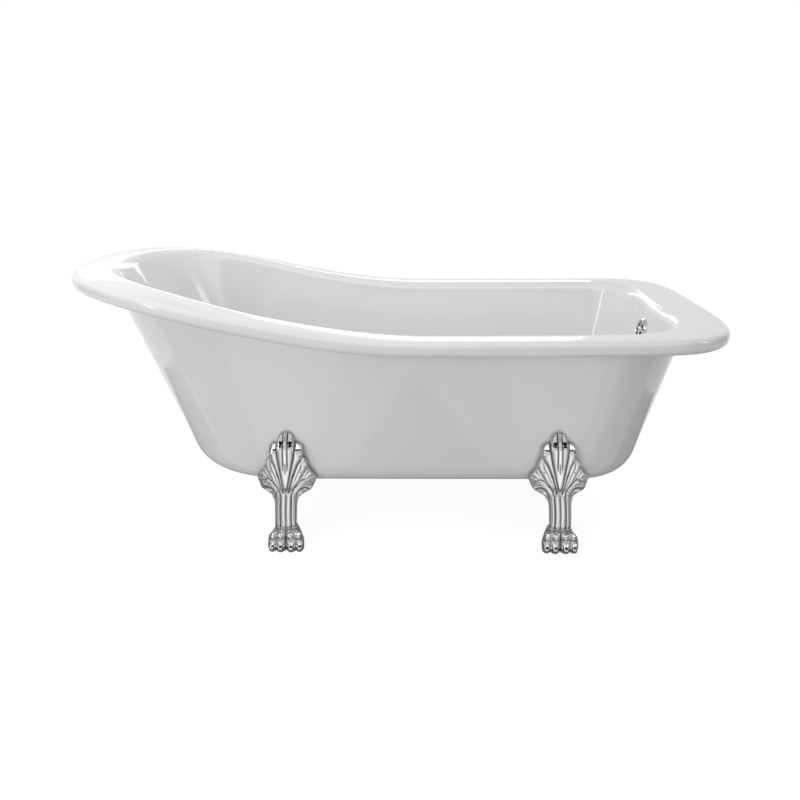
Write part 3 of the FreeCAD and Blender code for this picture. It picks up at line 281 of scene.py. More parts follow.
class Shell:
    """The bath's outlines and levels, worked out from its sizes."""

    def __init__(self, sizes):
        self.half_length = sizes.length / 2
        self.half_width = sizes.width / 2
        self.sizes = sizes
        self.rim, self.well, self.wall = (
            self.plan(head, tap, self.half_width - inset, *ends)
            for head, tap, inset, *ends in (RIM_PLAN, WELL_PLAN, WALL_PLAN)
        )
        self.floor, self.base = self.plan(*FLOOR_PLAN), self.plan(*BASE_PLAN)
        self.tops = self.rim_height(self.rim[:, 0])

    def plan(self, head_inset, tap_inset, side, *ends):
        """A plan outline that narrows to the tap as the bath does."""
        head, tap = head_inset - self.half_length, self.half_length - tap_inset
        return outline(head, tap, side, side * TAP_NARROWING, *ends)

    def rim_height(self, x):
        """Level side, with half a cosine wave's climb up to the head end and a slight climb to the tap."""
        share = (x + self.half_length) / (2 * self.half_length)
        swing = 0.5 * (1 + np.cos(math.pi * (share + RISE_LEAD) / (RISE_SHARE + RISE_LEAD)))
        head = self.sizes.slipper_rise * swing
        tap = RIM_DIP * ((share - RISE_SHARE) / (1 - RISE_SHARE)) ** 2
        return self.sizes.low_rim - RIM_DIP + np.where(share < RISE_SHARE, head, tap)

    def rim_level(self, gap, drop):
        """The rim's outline moved in by a gap and down by a drop."""
        plan = towards(self.rim, self.well, gap) if gap else self.rim
        return lift(plan, self.tops - drop)

    def inward(self, plan, distance, height):
        """A floor outline moved in towards the bath's middle line."""
        middle = np.clip(plan[:, 0], -self.half_length / 3, self.half_length / 2)
        target = np.column_stack([middle, np.zeros(len(plan))])
        return lift(towards(plan, target, distance), height)

    def to_hole(self, ring, x, radius, steps):
        """Levels that draw a flat ring in to a round hole, each point along its own ray."""
        middle = np.array([x, 0, ring[0, 2]])
        ray = ring - middle
        ray /= np.linalg.norm(ray, axis=1, keepdims=True)
        share = np.arange(steps + 1)[:, None, None] / steps
        return ring * (1 - share) + (middle + ray * radius) * share

    def inner_levels(self):
        """Lip, rolled edge, crowned rim, roll, wall, fillet and floor to the waste.

        The rolled edge is two quarter circles, and the crown is the parabola 4 c s (1 - s).
        """
        nose, depth = RIM_NOSE, RIM_DEPTH
        floor_height = self.sizes.floor_height
        quarter = [(math.sin(t), math.cos(t)) for t in np.linspace(0, math.pi / 2, 11)[:-1]]
        under = [self.rim_level(nose * (1 - sin), depth - nose + nose * cos) for sin, cos in quarter]
        over = [self.rim_level(nose * (1 - cos), nose - nose * sin) for sin, cos in quarter]
        edge = lift(self.well, self.tops)
        ends_over = self.rim_level(nose, 0)
        share = np.arange(10)[:, None, None] / 10
        crown = ends_over * (1 - share) + edge * share
        crown[..., 2] += RIM_CROWN * 4 * (share * (1 - share))[..., 0]
        turn_over = lift(towards(self.well, self.rim, -ROLL_INSET), self.tops)
        floor = lift(self.floor, floor_height)
        wall_start = towards(turn_over, floor, RIM_ROLL)
        wall_stop = towards(floor, turn_over, FLOOR_FILLET)
        flat = self.inward(self.floor, FLOOR_FILLET, floor_height)
        return np.concatenate(
            [
                straight(self.rim_level(RIM_RETURN, depth), self.rim_level(nose, depth), 3),
                under,
                straight(self.rim_level(0, depth - nose), self.rim_level(0, nose), 3),
                over,
                crown,
                bent(edge, turn_over, wall_start, 12),
                straight(wall_start, wall_stop, 14),
                bent(wall_stop, floor, flat, 14),
                self.to_hole(flat, self.sizes.waste_x, WASTE_HOLE_RADIUS, 7),
            ]
        )

    def outer_levels(self):
        """Bonded flange, shoulder, outer wall, fillet and base to the waste's passage."""
        base = self.sizes.base_height
        under_rim = self.tops - (RIM_DEPTH - self.sizes.inner_thickness - BOND_GAP)
        top = lift(self.wall, under_rim)
        flange = lift(towards(self.rim, self.wall, FLANGE_INSET), under_rim)
        before = lift(towards(self.wall, self.rim, SHOULDER_FILLET), under_rim)
        bottom = lift(self.base, base)
        wall_start = towards(top, bottom, SHOULDER_FILLET)
        wall_stop = towards(bottom, top, BASE_FILLET)
        flat = self.inward(self.base, BASE_FILLET, base)
        return np.concatenate(
            [
                straight(flange, before, 3),
                bent(before, top, wall_start, 8),
                straight(wall_start, wall_stop, 16),
                bent(wall_stop, bottom, flat, 18),
                self.to_hole(flat, self.sizes.waste_x, BASE_PASSAGE_RADIUS, 7),
            ]
        )


def normals_of(levels):
    """Unit normals of a grid of levels, from its neighbours down and round."""
    down = np.gradient(levels, axis=0)
    around = np.roll(levels, -1, axis=1) - np.roll(levels, 1, axis=1)
    normal = np.cross(around, down)
    return normal / np.linalg.norm(normal, axis=2, keepdims=True)


def skin(levels, thickness, last_normal):
    """A skin as one closed hoop of rings: the seen side, then the same moved through its thickness."""
    normal = normals_of(levels)
    normal *= np.sign(normal[-1, :, 2:3].mean() * last_normal)
    normal[-8:] = (0, 0, last_normal)
    hidden = levels + normal * thickness
    return hoop_stack(np.concatenate([levels, hidden[::-1]]))


def cut_round(thing, middle, axis, radius, reach):
    """Cut a round hole in a piece, reaching equally far along its axis each way from its middle."""
    axis = np.array(axis, float)
    axis /= np.linalg.norm(axis)
    side = np.cross(axis, (0, 1, 0))
    side /= np.linalg.norm(side)
    other = np.cross(axis, side)
    turn = np.linspace(0, 2 * math.pi, HOLE_POINTS, endpoint=False)
    ring = middle + radius * (np.cos(turn)[:, None] * side + np.sin(turn)[:, None] * other)
    rod = ring_stack(np.stack([ring - axis * reach, ring + axis * reach]))
    name = f"{thing.name}_hole_tool"
    tool = bpy.data.objects.new(name, mesh_of(name, [rod]))
    bpy.context.scene.collection.objects.link(tool)
    hole = thing.modifiers.new("holes", "BOOLEAN")
    hole.object = tool
    hole.operation = "DIFFERENCE"
    hole.solver = "MANIFOLD"
    bpy.context.view_layer.update()
    graph = bpy.context.evaluated_depsgraph_get()
    finished = bpy.data.meshes.new_from_object(thing.evaluated_get(graph))
    thing.modifiers.clear()
    thing.data = finished
    bpy.data.objects.remove(tool)


# ---------------------------------------------------------------------------------------------
# Carved feet.  A foot is worked out in its own frame: u along the bath from the foot's leaning
# middle line, z above the floor, and y out from the bath's middle line.  Millimetres.
# ---------------------------------------------------------------------------------------------

# Along the bath: middle of the casting's leaf, tip of the carved leaf, and how far its paw sweeps out.
FOOT_PLACES = {"head": (-270.0, -273.7, 23.0), "tap": (430.0, 423.0, 35.0)}
FOOT_HEIGHT = 373.0
FOOT_LEAN = 28.0
# The outer wall runs straight above its fillet from here, and the base's flat ends below here.
WALL_START = 267.0
ABOVE_BASE = 195.5
# How far out along its sweep a foot's middle line is, against height.
SWEEP_SHARE = ((0, 1.0), (60, 0.93), (126, 0.79), (190, 0.53), (260, 0.28), (373, 0.0))
# Middle line's stand-off of the ankle's front, and the hollow's back line.
ANKLE_FRONT = (
    (72, 266), (76, 267), (84, 268.5), (100, 270), (130, 272), (165, 276), (185, 281), (198, 285),
    (214, 289),
)  # fmt: skip
BACK_LINE = (
    (2, 202), (10, 198), (20, 197), (34, 198), (50, 203), (62, 210), (70, 217), (84, 223), (130, 227),
    (185, 228), (198, 232),
)  # fmt: skip
GLIDE_LINE = 239.0
# Points across the front of each level ring.
FRONT_POINTS = 190

LEAF_TIP = (
    (344, 22.4), (350, 21.2), (356, 19.2), (361, 16.6), (365, 13.4), (368, 9.6), (369.6, 5.5), (370.2, 1),
)  # fmt: skip
# Half width of the whole foot against height, from the sole to the leaf's tip.
OUTER_EDGE = (
    (0, 44), (2, 46), (6, 48.6), (14, 50), (26, 50.2), (36, 49.2), (46, 47), (54, 43), (59, 38.5),
    (63, 34.5), (67, 31.5), (72, 30.4), (100, 30.5), (140, 30.7), (154, 31.8), (162, 34.5), (171, 40),
    (178, 50), (185.5, 62), (196, 69.5), (205.5, 73), (218, 77.2), (226, 79), (232, 79.3), (240, 75.5),
    (250, 68), (260, 61), (265, 58.5), (277, 56.4), (285, 54), (291, 50.8), (296.5, 45.8), (305, 45.4),
    (318, 44.8), (327, 43.2), (332.5, 40.2), (335.5, 37.4), (337.2, 33.5), (338, 28.5), (338.4, 23.2),
    *LEAF_TIP,
)  # fmt: skip
TONGUE_EDGE = (
    (172, 1.5), (188, 2.6), (206, 5.2), (232, 9.2), (253, 12.5), (277, 16.6), (301, 20.8), (323, 23.2),
    (341, 23.6), (373, 26),
)  # fmt: skip
EAR_EDGE = (
    (172, 5.5), (185, 7.6), (212, 12), (240, 17.8), (261, 24.7), (280, 31.6), (293, 39.7), (298, 45.8),
    (310, 60), (373, 60),
)  # fmt: skip
PETAL_EDGE = (
    (150, 15.5), (165, 15.5), (180, 16), (196, 20), (215, 28), (231, 38.6), (247, 46), (259, 52.4),
    (265.5, 58.5), (280, 90), (373, 90),
)  # fmt: skip
# Half width of the tongue's own end, which stands clear of the ears above 338 mm.
TONGUE_END = (
    (0, 120), (318, 70), (328, 42), (334, 30), (338.4, 25.5), *LEAF_TIP,
)  # fmt: skip
# Pits in the leaf: out from the middle line, height, half width, half height and depth.
PITS = (
    (19.5, 245, 1.6, 6.5, 3.0), (8.0, 185, 1.7, 3.6, 4.0), (0, 186, 1.0, 3.4, 2.0),
    (41, 256, 1.8, 1.8, 1.5),
)  # fmt: skip
SCROLL_TOP = ((0, 175), (28, 209), (38.6, 225), (50, 230.5), (60, 224), (73.5, 206), (90, 198))


def between(table, at):
    """Straight-line reading of a table of (where, value) pairs."""
    where, value = zip(*table)
    return np.interp(at, where, value)


def fade(x, low, high):
    """0 below low, 1 above high, as 3 t^2 - 2 t^3 between."""
    t = np.clip((x - low) / (high - low), 0, 1)
    return t * t * (3 - 2 * t)


def window(x, low, full, still, high):
    """A fade up from low to full, and down again from still to high."""
    return fade(x, low, full) * (1 - fade(x, still, high))


def hill(x, width):
    """A bell exp(-(x / width)^2)."""
    return np.exp(-((x / width) ** 2))


def arcs(v, *bumps):
    """The highest of several round bumps h * sqrt(1 - ((v - c) / r)^2), each given as (c, r, h)."""
    heights = [h * np.sqrt(np.maximum(1 - ((v - c) / r) ** 2, 0)) for c, r, h in bumps]
    return np.max(heights, axis=0)


class FootPlace:
    """One foot's place on the bath, and the outer wall behind it."""

    def __init__(self, name, shell):
        row, end = name.split("_")
        self.side = -1 if row == "front" else 1
        self.end = -1 if end == "head" else 1
        self.station, self.tip, self.sweep = FOOT_PLACES[end]
        levels = shell.outer_levels() / MM
        levels = levels[:, : levels.shape[1] // 2]
        levels = levels[(levels[:, :, 2] > ABOVE_BASE).all(axis=1)]
        self.along = np.linspace(self.station - 125, self.station + 125, 51)
        outs = np.array([np.interp(self.along, row[:, 0], row[:, 1]) for row in levels])
        ups = np.array([np.interp(self.along, row[:, 0], row[:, 2]) for row in levels])
        self.up = np.linspace(196, 400, 103)
        columns = [np.interp(self.up, ups[::-1, k], outs[::-1, k]) for k in range(len(self.along))]
        self.table = np.array(columns)

    def cast_line(self, z):
        """Middle line of the casting's bores and shelf along the bath."""
        return self.station + FOOT_LEAN * (1 - z / FOOT_HEIGHT) * self.end

    def line(self, z):
        """Middle line of the carving: it sweeps out towards the floor, most at the top of the ankle."""
        z = np.asarray(z, float)
        share = curve_through(z.ravel(), *zip(*SWEEP_SHARE)).reshape(z.shape)
        return self.tip + self.end * self.sweep * share

    def wall(self, u, z):
        """The outer wall's stand-off from the bath's middle line, read between worked-out points."""
        along, up = self.along, self.up
        x = np.clip((self.line(z) + u - along[0]) / (along[1] - along[0]), 0, len(along) - 1.001)
        h = np.clip((z - up[0]) / (up[1] - up[0]), 0, len(up) - 1.001)
        i, j = x.astype(int), h.astype(int)
        a, b = x - i, h - j
        table = self.table
        low = table[i, j] * (1 - b) + table[i, j + 1] * b
        high = table[i + 1, j] * (1 - b) + table[i + 1, j + 1] * b
        return low * (1 - a) + high * a

    def back(self, u, z):
        """The wall above its fillet, carried straight on down below it."""
        straight_on = self.wall(u, np.full_like(z, WALL_START)) + 0.15 * (z - WALL_START)
        return np.where(z > WALL_START, self.wall(u, z), straight_on)

    def crown(self, u, z):
        """How far the leaf's body stands out: deepest on its middle line, falling off as a square."""
        middle = curve_through(
            z.ravel(), (170, 190, 200, 210, 222, 236, 258, 278, 304, 318, 326, 331, 340, 349, 355, 371),
            (15, 18, 21, 24, 26, 27, 27, 26.5, 26, 25, 24, 21.8, 16.5, 11.2, 8.6, 3.5),
        ).reshape(z.shape)  # fmt: skip
        reach = between(((170, 60), (205, 72), (245, 84), (290, 70), (330, 58), (373, 44)), z)
        return middle * (1 - 0.55 * np.minimum(np.abs(u) / reach, 1.2) ** 2)

    def to_bath(self, u, y, z):
        """The foot's own frame to the bath's, in metres."""
        return np.stack([self.line(z) + u, self.side * y, z], axis=-1) * MM


def leaf_relief(a, z):
    """Height of the leaf's lobes at a distance a from the middle line and height z, and a mask of painted
    shade along its grooves.

    The lobes lie side by side between their edges; across each, s runs from -1 to 1 and the lobe
    stands h * sqrt(1 - |s|^n).  The tongue has a rib between grooves at 5.8 mm, the petal two
    ridges, the wing seven ridges that spread from one point, the scroll one.
    """
    tongue, ear, petal = (between(table, z) for table in (TONGUE_EDGE, EAR_EDGE, PETAL_EDGE))
    outer = between(OUTER_EDGE, z)
    ear_end = np.minimum(ear, outer + 1)
    petal_end = np.minimum(petal, outer + 1)
    neck = fade(z, 178, 218)

    t = np.clip(a / tongue, 0, 1)
    rib = fade(z, 256, 282)
    low_split = 0.6 * hill(a, 0.9) * window(z, 250, 260, 278, 290)
    high_split = 0.8 * hill(a, 0.9) * window(z, 346, 350, 363, 366)
    grooves = np.maximum(hill(a - 5.8, 1.2) * rib + low_split, high_split)
    height = 2.2 + 5.0 * (1 - t**5) ** 0.5 * (0.35 + 0.65 * neck) - 2.6 * grooves
    height = height + 3.2 * fade(z, 328, 352) * (1 - fade(a, 3.6, 5.4))

    s = np.clip(2 * (a - tongue) / np.maximum(ear_end - tongue, 1) - 1, -1, 1)
    ear_height = 1.0 + 5.4 * (1 - np.abs(s) ** 2.2) ** 0.5 * (0.25 + 0.75 * neck)
    ear_height = ear_height - 11 * fade(z, 308, 342)
    s = np.clip(2 * (a - ear_end) / np.maximum(petal_end - ear_end, 1) - 1, -1, 1)
    ridges = arcs(s, (-0.52, 0.5, 1.0), (0.42, 0.6, 0.85))
    petal_height = -0.5 + 4.8 * (0.35 * (1 - s**2) ** 0.5 + 0.65 * ridges) * (0.3 + 0.7 * neck)
    petal_height = petal_height - 6 * fade(z, 270, 302)
    turn = np.arctan2(z - 226, np.maximum(a - 42, 0.5))
    wing_height = -3.4 + 2.2 * np.abs(np.cos(turn * 5.2)) ** 0.6 * fade(a, 44, 60)
    top = between(SCROLL_TOP, a)
    s = np.clip(1 - 2 * (top - z) / 34, -1, 1)
    scroll_height = -3.6 + 5.4 * (1 - np.abs(s) ** 2.4) ** 0.5
    scroll_height = scroll_height - 1.3 * hill(z - top + 9, 1.3) * fade(a, 40, 52)
    in_scroll = z < top
    height = np.where(a > tongue, ear_height, height)
    height = np.where(a > ear_end, petal_height, height)
    height = np.where(a > petal_end, np.where(in_scroll, scroll_height, wing_height), height)

    # The mask both deepens the lines where lobes meet, the tongue's grooves and the pits, and marks them for
    # painted shade in the material.
    lines = [
        hill((a - tongue) / 1.25, 1.0) * fade(z, 180, 206),
        hill((a - ear) / 1.25, 1.0) * fade(z, 180, 206),
        hill((a - petal) / 1.25, 1.1),
        hill(z - top, 1.1) * (a > petal),
        0.8 * grooves * (a < tongue),
    ]
    groove_shade = np.max(lines, axis=0)
    for middle, level, wide, tall, deep in PITS:
        pit = hill(a - middle - 0.35 * (z - level), wide) * hill(z - level, tall)
        height -= deep * pit
        groove_shade = np.maximum(groove_shade, pit)
    return height - 1.6 * groove_shade, groove_shade


def ankle_relief(a, z):
    """Two ribs side by side between grooves at 15 mm, and a softer rib outside each."""
    ribs = arcs(a, (7.4, 7.3, 3.4), (21.5, 6.8, 3.0), (30, 5.0, 1.0))
    # The groove mask both cuts the grooves and marks them for painted shade in the material.
    groove_shade = np.maximum(hill(a - 14.9, 1.2), 0.75 * hill(a, 0.8))
    return ribs - 1.8 * groove_shade, groove_shade


KNUCKLE = ((40, 0), (47, 3.2), (52, 4.2), (58, 1.6), (61, 0))
CLAW = ((0, 3.0), (8, 5.4), (13, 6.2), (17, 6.0), (25, 3.0), (29, 0))
TOE_CREST = (
    (0, 278), (2, 280), (6, 281.5), (11, 282), (16, 282), (22, 281), (29, 279), (37, 278.2), (45, 279),
    (52, 279.5), (57, 279), (60, 277), (63, 272), (66, 267), (69, 265), (77, 267),
)  # fmt: skip


def paw_front(u, z):
    """Four toes side by side with knuckle, wrinkled band and claw, falling back at the paw's sides.

    Each toe stands up as a half circle between its valleys; knuckles and claws rise to a bevelled top
    on its crest, and the wrinkles are two sets of waves crossed with each other.
    """
    a = np.abs(u)
    spread = 1 - fade(z, 21, 54)
    inner, outer = 13.2 + 1.4 * spread, 35.4 + 3.8 * spread
    crest = curve_through(z.ravel(), *zip(*TOE_CREST)).reshape(z.shape)
    toes = arcs(a, (inner, 12.8, 1.0), (outer, 12.2, 1.0)) ** 0.8
    deep = 7.0 * (1 - fade(z, 54, 68)) + 2.5
    fall = 4.5 * (a / 50) ** 2.5
    on_inner = a < (inner + outer) / 2
    toe_middle = np.where(on_inner, inner, outer)
    off = np.abs(a - toe_middle)
    lower = np.where(on_inner, z, z + 4)
    knuckle = between(KNUCKLE, lower) * np.maximum(1 - (off / 8.2) ** 3, 0) ** 0.6
    claw = between(CLAW, z) * np.maximum(1 - (off / 7.6) ** 4, 0) ** 0.5
    small = 3.6 * hill(np.minimum(a, np.abs(a - (inner + outer) / 2)), 2.6) * hill(z - 17, 4)
    band = hill(z - 35, 6) + 0.4 * hill(z - 41, 6)
    wave = np.sin(u / 0.95 + 1.7 * np.sin(z / 2.9 + u / 9)) * np.cos(z / 1.35 + 1.5 * np.sin(u / 2.1))
    # The second value is only a mask of painted shade: between the toes, round each claw, in the wrinkles
    # and along the paw's top; none of it changes the shape.
    groove_shade = hill(toes, 0.35) * (1 - fade(z, 60, 70))
    rim = hill(off - 7.8, 1.0) * fade(30 - z, 0, 4) * 0.6
    wrinkles = 0.7 * band * fade(wave, 0.1, 0.8)
    groove_shade = np.max([groove_shade, 0.8 * rim, wrinkles, 0.9 * hill(z - 67, 2.2)], axis=0)
    front = crest - deep * (1 - toes) - fall + knuckle + claw + small + 0.7 * band * wave
    return front, groove_shade


def carving(place):
    """The whole carved casting as one stack of level rings, from the leaf's tip down to the sole.

    A ring is a front line y(u) with the lobes, ribs and toes, and a back line.  Towards the outer
    edge the front is rounded off as a quarter circle over the true distance to that edge,
    d = (half - |u|) / sqrt(1 + (d half / dz)^2).
    """
    leaf_rows, ankle_rows, paw_rows = (
        np.linspace(370, 172, 200), np.linspace(171, 78, 36)[1:], np.linspace(77, 1, 120)
    )  # fmt: skip
    heights = np.concatenate([leaf_rows, ankle_rows, paw_rows])
    half = between(OUTER_EDGE, heights)
    rate = np.gradient(half, heights)
    even = np.linspace(1, -1, FRONT_POINTS)
    v = np.sin(even * math.pi / 2) * 0.35 + even * 0.65
    u = half[:, None] * v
    z = np.broadcast_to(heights[:, None], u.shape)
    a = np.abs(u)

    relief, leaf_groove_shade = leaf_relief(a, z)
    body = place.back(u, z) + place.crown(u, z)
    leaf = body + relief
    middle = curve_through(heights, *zip(*ANKLE_FRONT))[:, None]
    ribs, ankle_groove_shade = ankle_relief(a * 29.8 / np.minimum(half, 30)[:, None], z)
    ankle = middle - 8 * np.minimum(a / 31, 1.2) ** 3 + ribs - 2.4
    to_leaf = np.maximum(fade(z, 174, 187), fade(a, 26, 34) * fade(z, 158, 174))
    paw, paw_groove_shade = paw_front(u, z)
    to_paw = 1 - fade(z, 65, 70)
    front = ankle * (1 - to_leaf) + leaf * to_leaf
    front = front * (1 - to_paw) + paw * to_paw
    # Painted shade: the groove masks of the ankle, leaf and paw, blended as the shapes are, later darken the
    # chrome's colour.
    groove_shade = ankle_groove_shade * (1 - to_leaf) * (1 - to_paw)
    groove_shade = groove_shade + leaf_groove_shade * to_leaf + paw_groove_shade * to_paw

    rear = between(BACK_LINE, z)
    rim_line = (middle - 9) * (1 - to_paw) + (front - 4) * to_paw
    rear = rear + (rim_line - rear) * np.abs(v) ** 3
    thin = np.maximum(place.wall(u, z) + 1.2, body - 13)
    thin = np.where(z < 196.5, body - 11, thin)
    behind_leaf = np.maximum(fade(z, 190, 206), fade(a, 28, 34) * fade(z, 158, 172))
    rear = rear * (1 - behind_leaf) + thin * behind_leaf
    own = between(TONGUE_END, heights)
    own_rate = np.gradient(own, heights)
    on_tongue = a < between(TONGUE_EDGE, z)
    distance = np.where(
        on_tongue,
        (own[:, None] - a) / np.sqrt(1 + own_rate[:, None] ** 2),
        (half[:, None] - a) / np.sqrt(1 + rate[:, None] ** 2),
    )
    reach = between(((2, 12), (60, 12), (72, 7), (150, 7), (180, 4.0), (373, 4.5)), z)
    rounding = np.sqrt(1 - (1 - np.clip(distance / reach, 0, 1)) ** 2)
    edge = rim_line * (1 - behind_leaf) + np.maximum(rear + 1.5, body - 7) * behind_leaf
    front = np.maximum(edge + (front - edge) * rounding, rear + 0.8)
    back_v = slice(None, None, -4)
    back_line = np.minimum(rear, front - 0.6)[:, back_v]
    y = np.concatenate([front, back_line], axis=1)
    u = np.concatenate([u, u[:, back_v]], axis=1)
    z = np.broadcast_to(heights[:, None], u.shape)
    groove_shade = np.concatenate([groove_shade * rounding, np.zeros_like(back_line)], axis=1)
    rings = place.to_bath(u, y, z)

    bore = place.cast_line(5.0) - place.line(5.0)
    spin = np.arctan2(y[-1] - GLIDE_LINE, u[-1] - bore)
    under = []
    for radius, level in ((21, 2), (21, 8), (5.3, 8), (5.3, 58)):
        shift = place.line(5.0) - place.line(float(level))
        ring_u = bore + shift + radius * np.cos(spin)
        ring_y = GLIDE_LINE + radius * np.sin(spin)
        under.append(place.to_bath(ring_u, ring_y, np.full_like(spin, level)))
    stack = ring_stack(np.concatenate([rings, np.stack(under)]))
    crease_shade = np.zeros(len(stack[0]))
    crease_shade[: groove_shade.size] = groove_shade.ravel()
    return stack, crease_shade


def bracket(place):
    """The shelf under the bath: rounded oblong sections with broken edges."""
    turns = np.linspace(0, 2 * math.pi, 96, endpoint=False)
    cosine, sine = np.cos(turns), np.sin(turns)
    near, far, half, square = 120.0, 268.0, 35.0, 0.22
    rings = []
    for inset, level in ((1.5, 180), (0.4, 180.4), (0, 181.5), (0, 190.8), (0.4, 191.6), (1.5, 192)):
        u = (half - inset) * np.sign(cosine) * np.abs(cosine) ** square
        y = (near + far) / 2 + ((far - near) / 2 - inset) * np.sign(sine) * np.abs(sine) ** square
        at_line = place.cast_line(195.0) - place.line(float(level))
        rings.append(place.to_bath(u + at_line, y, np.full_like(u, level)))
    return ring_stack(np.stack(rings))


# ---------------------------------------------------------------------------------------------
# Materials
# ---------------------------------------------------------------------------------------------


# Places of the colour sockets in a Mix node.
COLOR_A, COLOR_B, COLOR_RESULT = 6, 7, 2
SURFACE_SOCKETS = (
    ("Color", "NodeSocketColor", (0.8, 0.8, 0.8, 1)),
    ("Second Color", "NodeSocketColor", (0.7, 0.7, 0.7, 1)),
    ("Roughness", "NodeSocketFloat", 0.3),
    ("Roughness Spread", "NodeSocketFloat", 0.05),
    ("Broad Scale", "NodeSocketFloat", 6.0),
    ("Fine Scale", "NodeSocketFloat", 300.0),
    ("Fine Share", "NodeSocketFloat", 0.3),
    ("Stretch", "NodeSocketVector", (1, 1, 1)),
)


def new_material(name, base_color, roughness, metallic=0.0, specular=0.5):
    """A Principled material with its plain values set on the shader's own sockets."""
    material = bpy.data.materials.new(name)
    material.use_nodes = True
    shader = material.node_tree.nodes["Principled BSDF"]
    shader.inputs["Base Color"].default_value = (*base_color, 1)
    shader.inputs["Roughness"].default_value = roughness
    shader.inputs["Metallic"].default_value = metallic
    shader.inputs["Specular IOR Level"].default_value = specular
    return material, shader


def surface_group():
    """Shader group: fine mottling of a colour and roughness, and a height, from two noises."""
    name = "moulded_surface"
    if name in bpy.data.node_groups:
        return bpy.data.node_groups[name]
    group = bpy.data.node_groups.new(name, "ShaderNodeTree")
    for label, kind, default in SURFACE_SOCKETS:
        group.interface.new_socket(label, in_out="INPUT", socket_type=kind).default_value = default
    outputs = (("Color", "NodeSocketColor"), ("Roughness", "NodeSocketFloat"), ("Height", "NodeSocketFloat"))
    for label, kind in outputs:
        group.interface.new_socket(label, in_out="OUTPUT", socket_type=kind)
    make = group.nodes.new
    link = group.links.new
    given = make("NodeGroupInput")
    out = make("NodeGroupOutput")
    coordinates = make("ShaderNodeTexCoord")
    stretch = make("ShaderNodeVectorMath")
    stretch.operation = "MULTIPLY"
    link(coordinates.outputs["Object"], stretch.inputs[0])
    link(given.outputs["Stretch"], stretch.inputs[1])
    noises = []
    for scale in ("Broad Scale", "Fine Scale"):
        noise = make("ShaderNodeTexNoise")
        noise.inputs["Detail"].default_value = 3
        link(stretch.outputs["Vector"], noise.inputs["Vector"])
        link(given.outputs[scale], noise.inputs["Scale"])
        noises.append(noise)
    both = make("ShaderNodeMix")
    both.data_type = "FLOAT"
    link(given.outputs["Fine Share"], both.inputs["Factor"])
    link(noises[0].outputs["Fac"], both.inputs["A"])
    link(noises[1].outputs["Fac"], both.inputs["B"])
    tint = make("ShaderNodeMix")
    tint.data_type = "RGBA"
    link(both.outputs["Result"], tint.inputs["Factor"])
    link(given.outputs["Color"], tint.inputs[COLOR_A])
    link(given.outputs["Second Color"], tint.inputs[COLOR_B])
    spread = make("ShaderNodeMath")
    spread.operation = "MULTIPLY_ADD"
    link(both.outputs["Result"], spread.inputs[0])
    link(given.outputs["Roughness Spread"], spread.inputs[1])
    link(given.outputs["Roughness"], spread.inputs[2])
    link(tint.outputs[COLOR_RESULT], out.inputs["Color"])
    link(spread.outputs["Value"], out.inputs["Roughness"])
    link(both.outputs["Result"], out.inputs["Height"])
    return group


def moulded(
    name, color, second, roughness, spread, broad, fine, share, bump,
    metallic=0.0, stretch=(1, 1, 1), shade_in_grooves=0.0,
):  # fmt: skip
    """A material whose colour, roughness and bump come from the moulded_surface group.

    Its last argument sets how far a point attribute darkens the colour towards near black: painted shade in
    the grooves of a carving.
    """
    material, shader = new_material(name, color, roughness, metallic)
    nodes, links = material.node_tree.nodes, material.node_tree.links
    group = nodes.new("ShaderNodeGroup")
    group.node_tree = surface_group()
    values = ((*color, 1), (*second, 1), roughness, spread, broad, fine, share, stretch)
    for (label, _, _), value in zip(SURFACE_SOCKETS, values):
        group.inputs[label].default_value = value
    relief = nodes.new("ShaderNodeBump")
    relief.inputs["Distance"].default_value = bump
    links.new(group.outputs["Height"], relief.inputs["Height"])
    # Painted shade: the groove mask blends the colour towards near black at the bottom of the grooves.
    if shade_in_grooves:
        recess = nodes.new("ShaderNodeAttribute")
        recess.attribute_name = "recess"
        share_of = nodes.new("ShaderNodeMath")
        share_of.operation = "MULTIPLY"
        share_of.inputs[1].default_value = shade_in_grooves
        darkened = nodes.new("ShaderNodeMix")
        darkened.data_type = "RGBA"
        darkened.inputs[COLOR_B].default_value = (0.03, 0.03, 0.032, 1)
        links.new(recess.outputs["Fac"], share_of.inputs[0])
        links.new(share_of.outputs["Value"], darkened.inputs["Factor"])
        links.new(group.outputs["Color"], darkened.inputs[COLOR_A])
        links.new(darkened.outputs[COLOR_RESULT], shader.inputs["Base Color"])
    else:
        links.new(group.outputs["Color"], shader.inputs["Base Color"])
    links.new(group.outputs["Roughness"], shader.inputs["Roughness"])
    links.new(relief.outputs["Normal"], shader.inputs["Normal"])
    return material


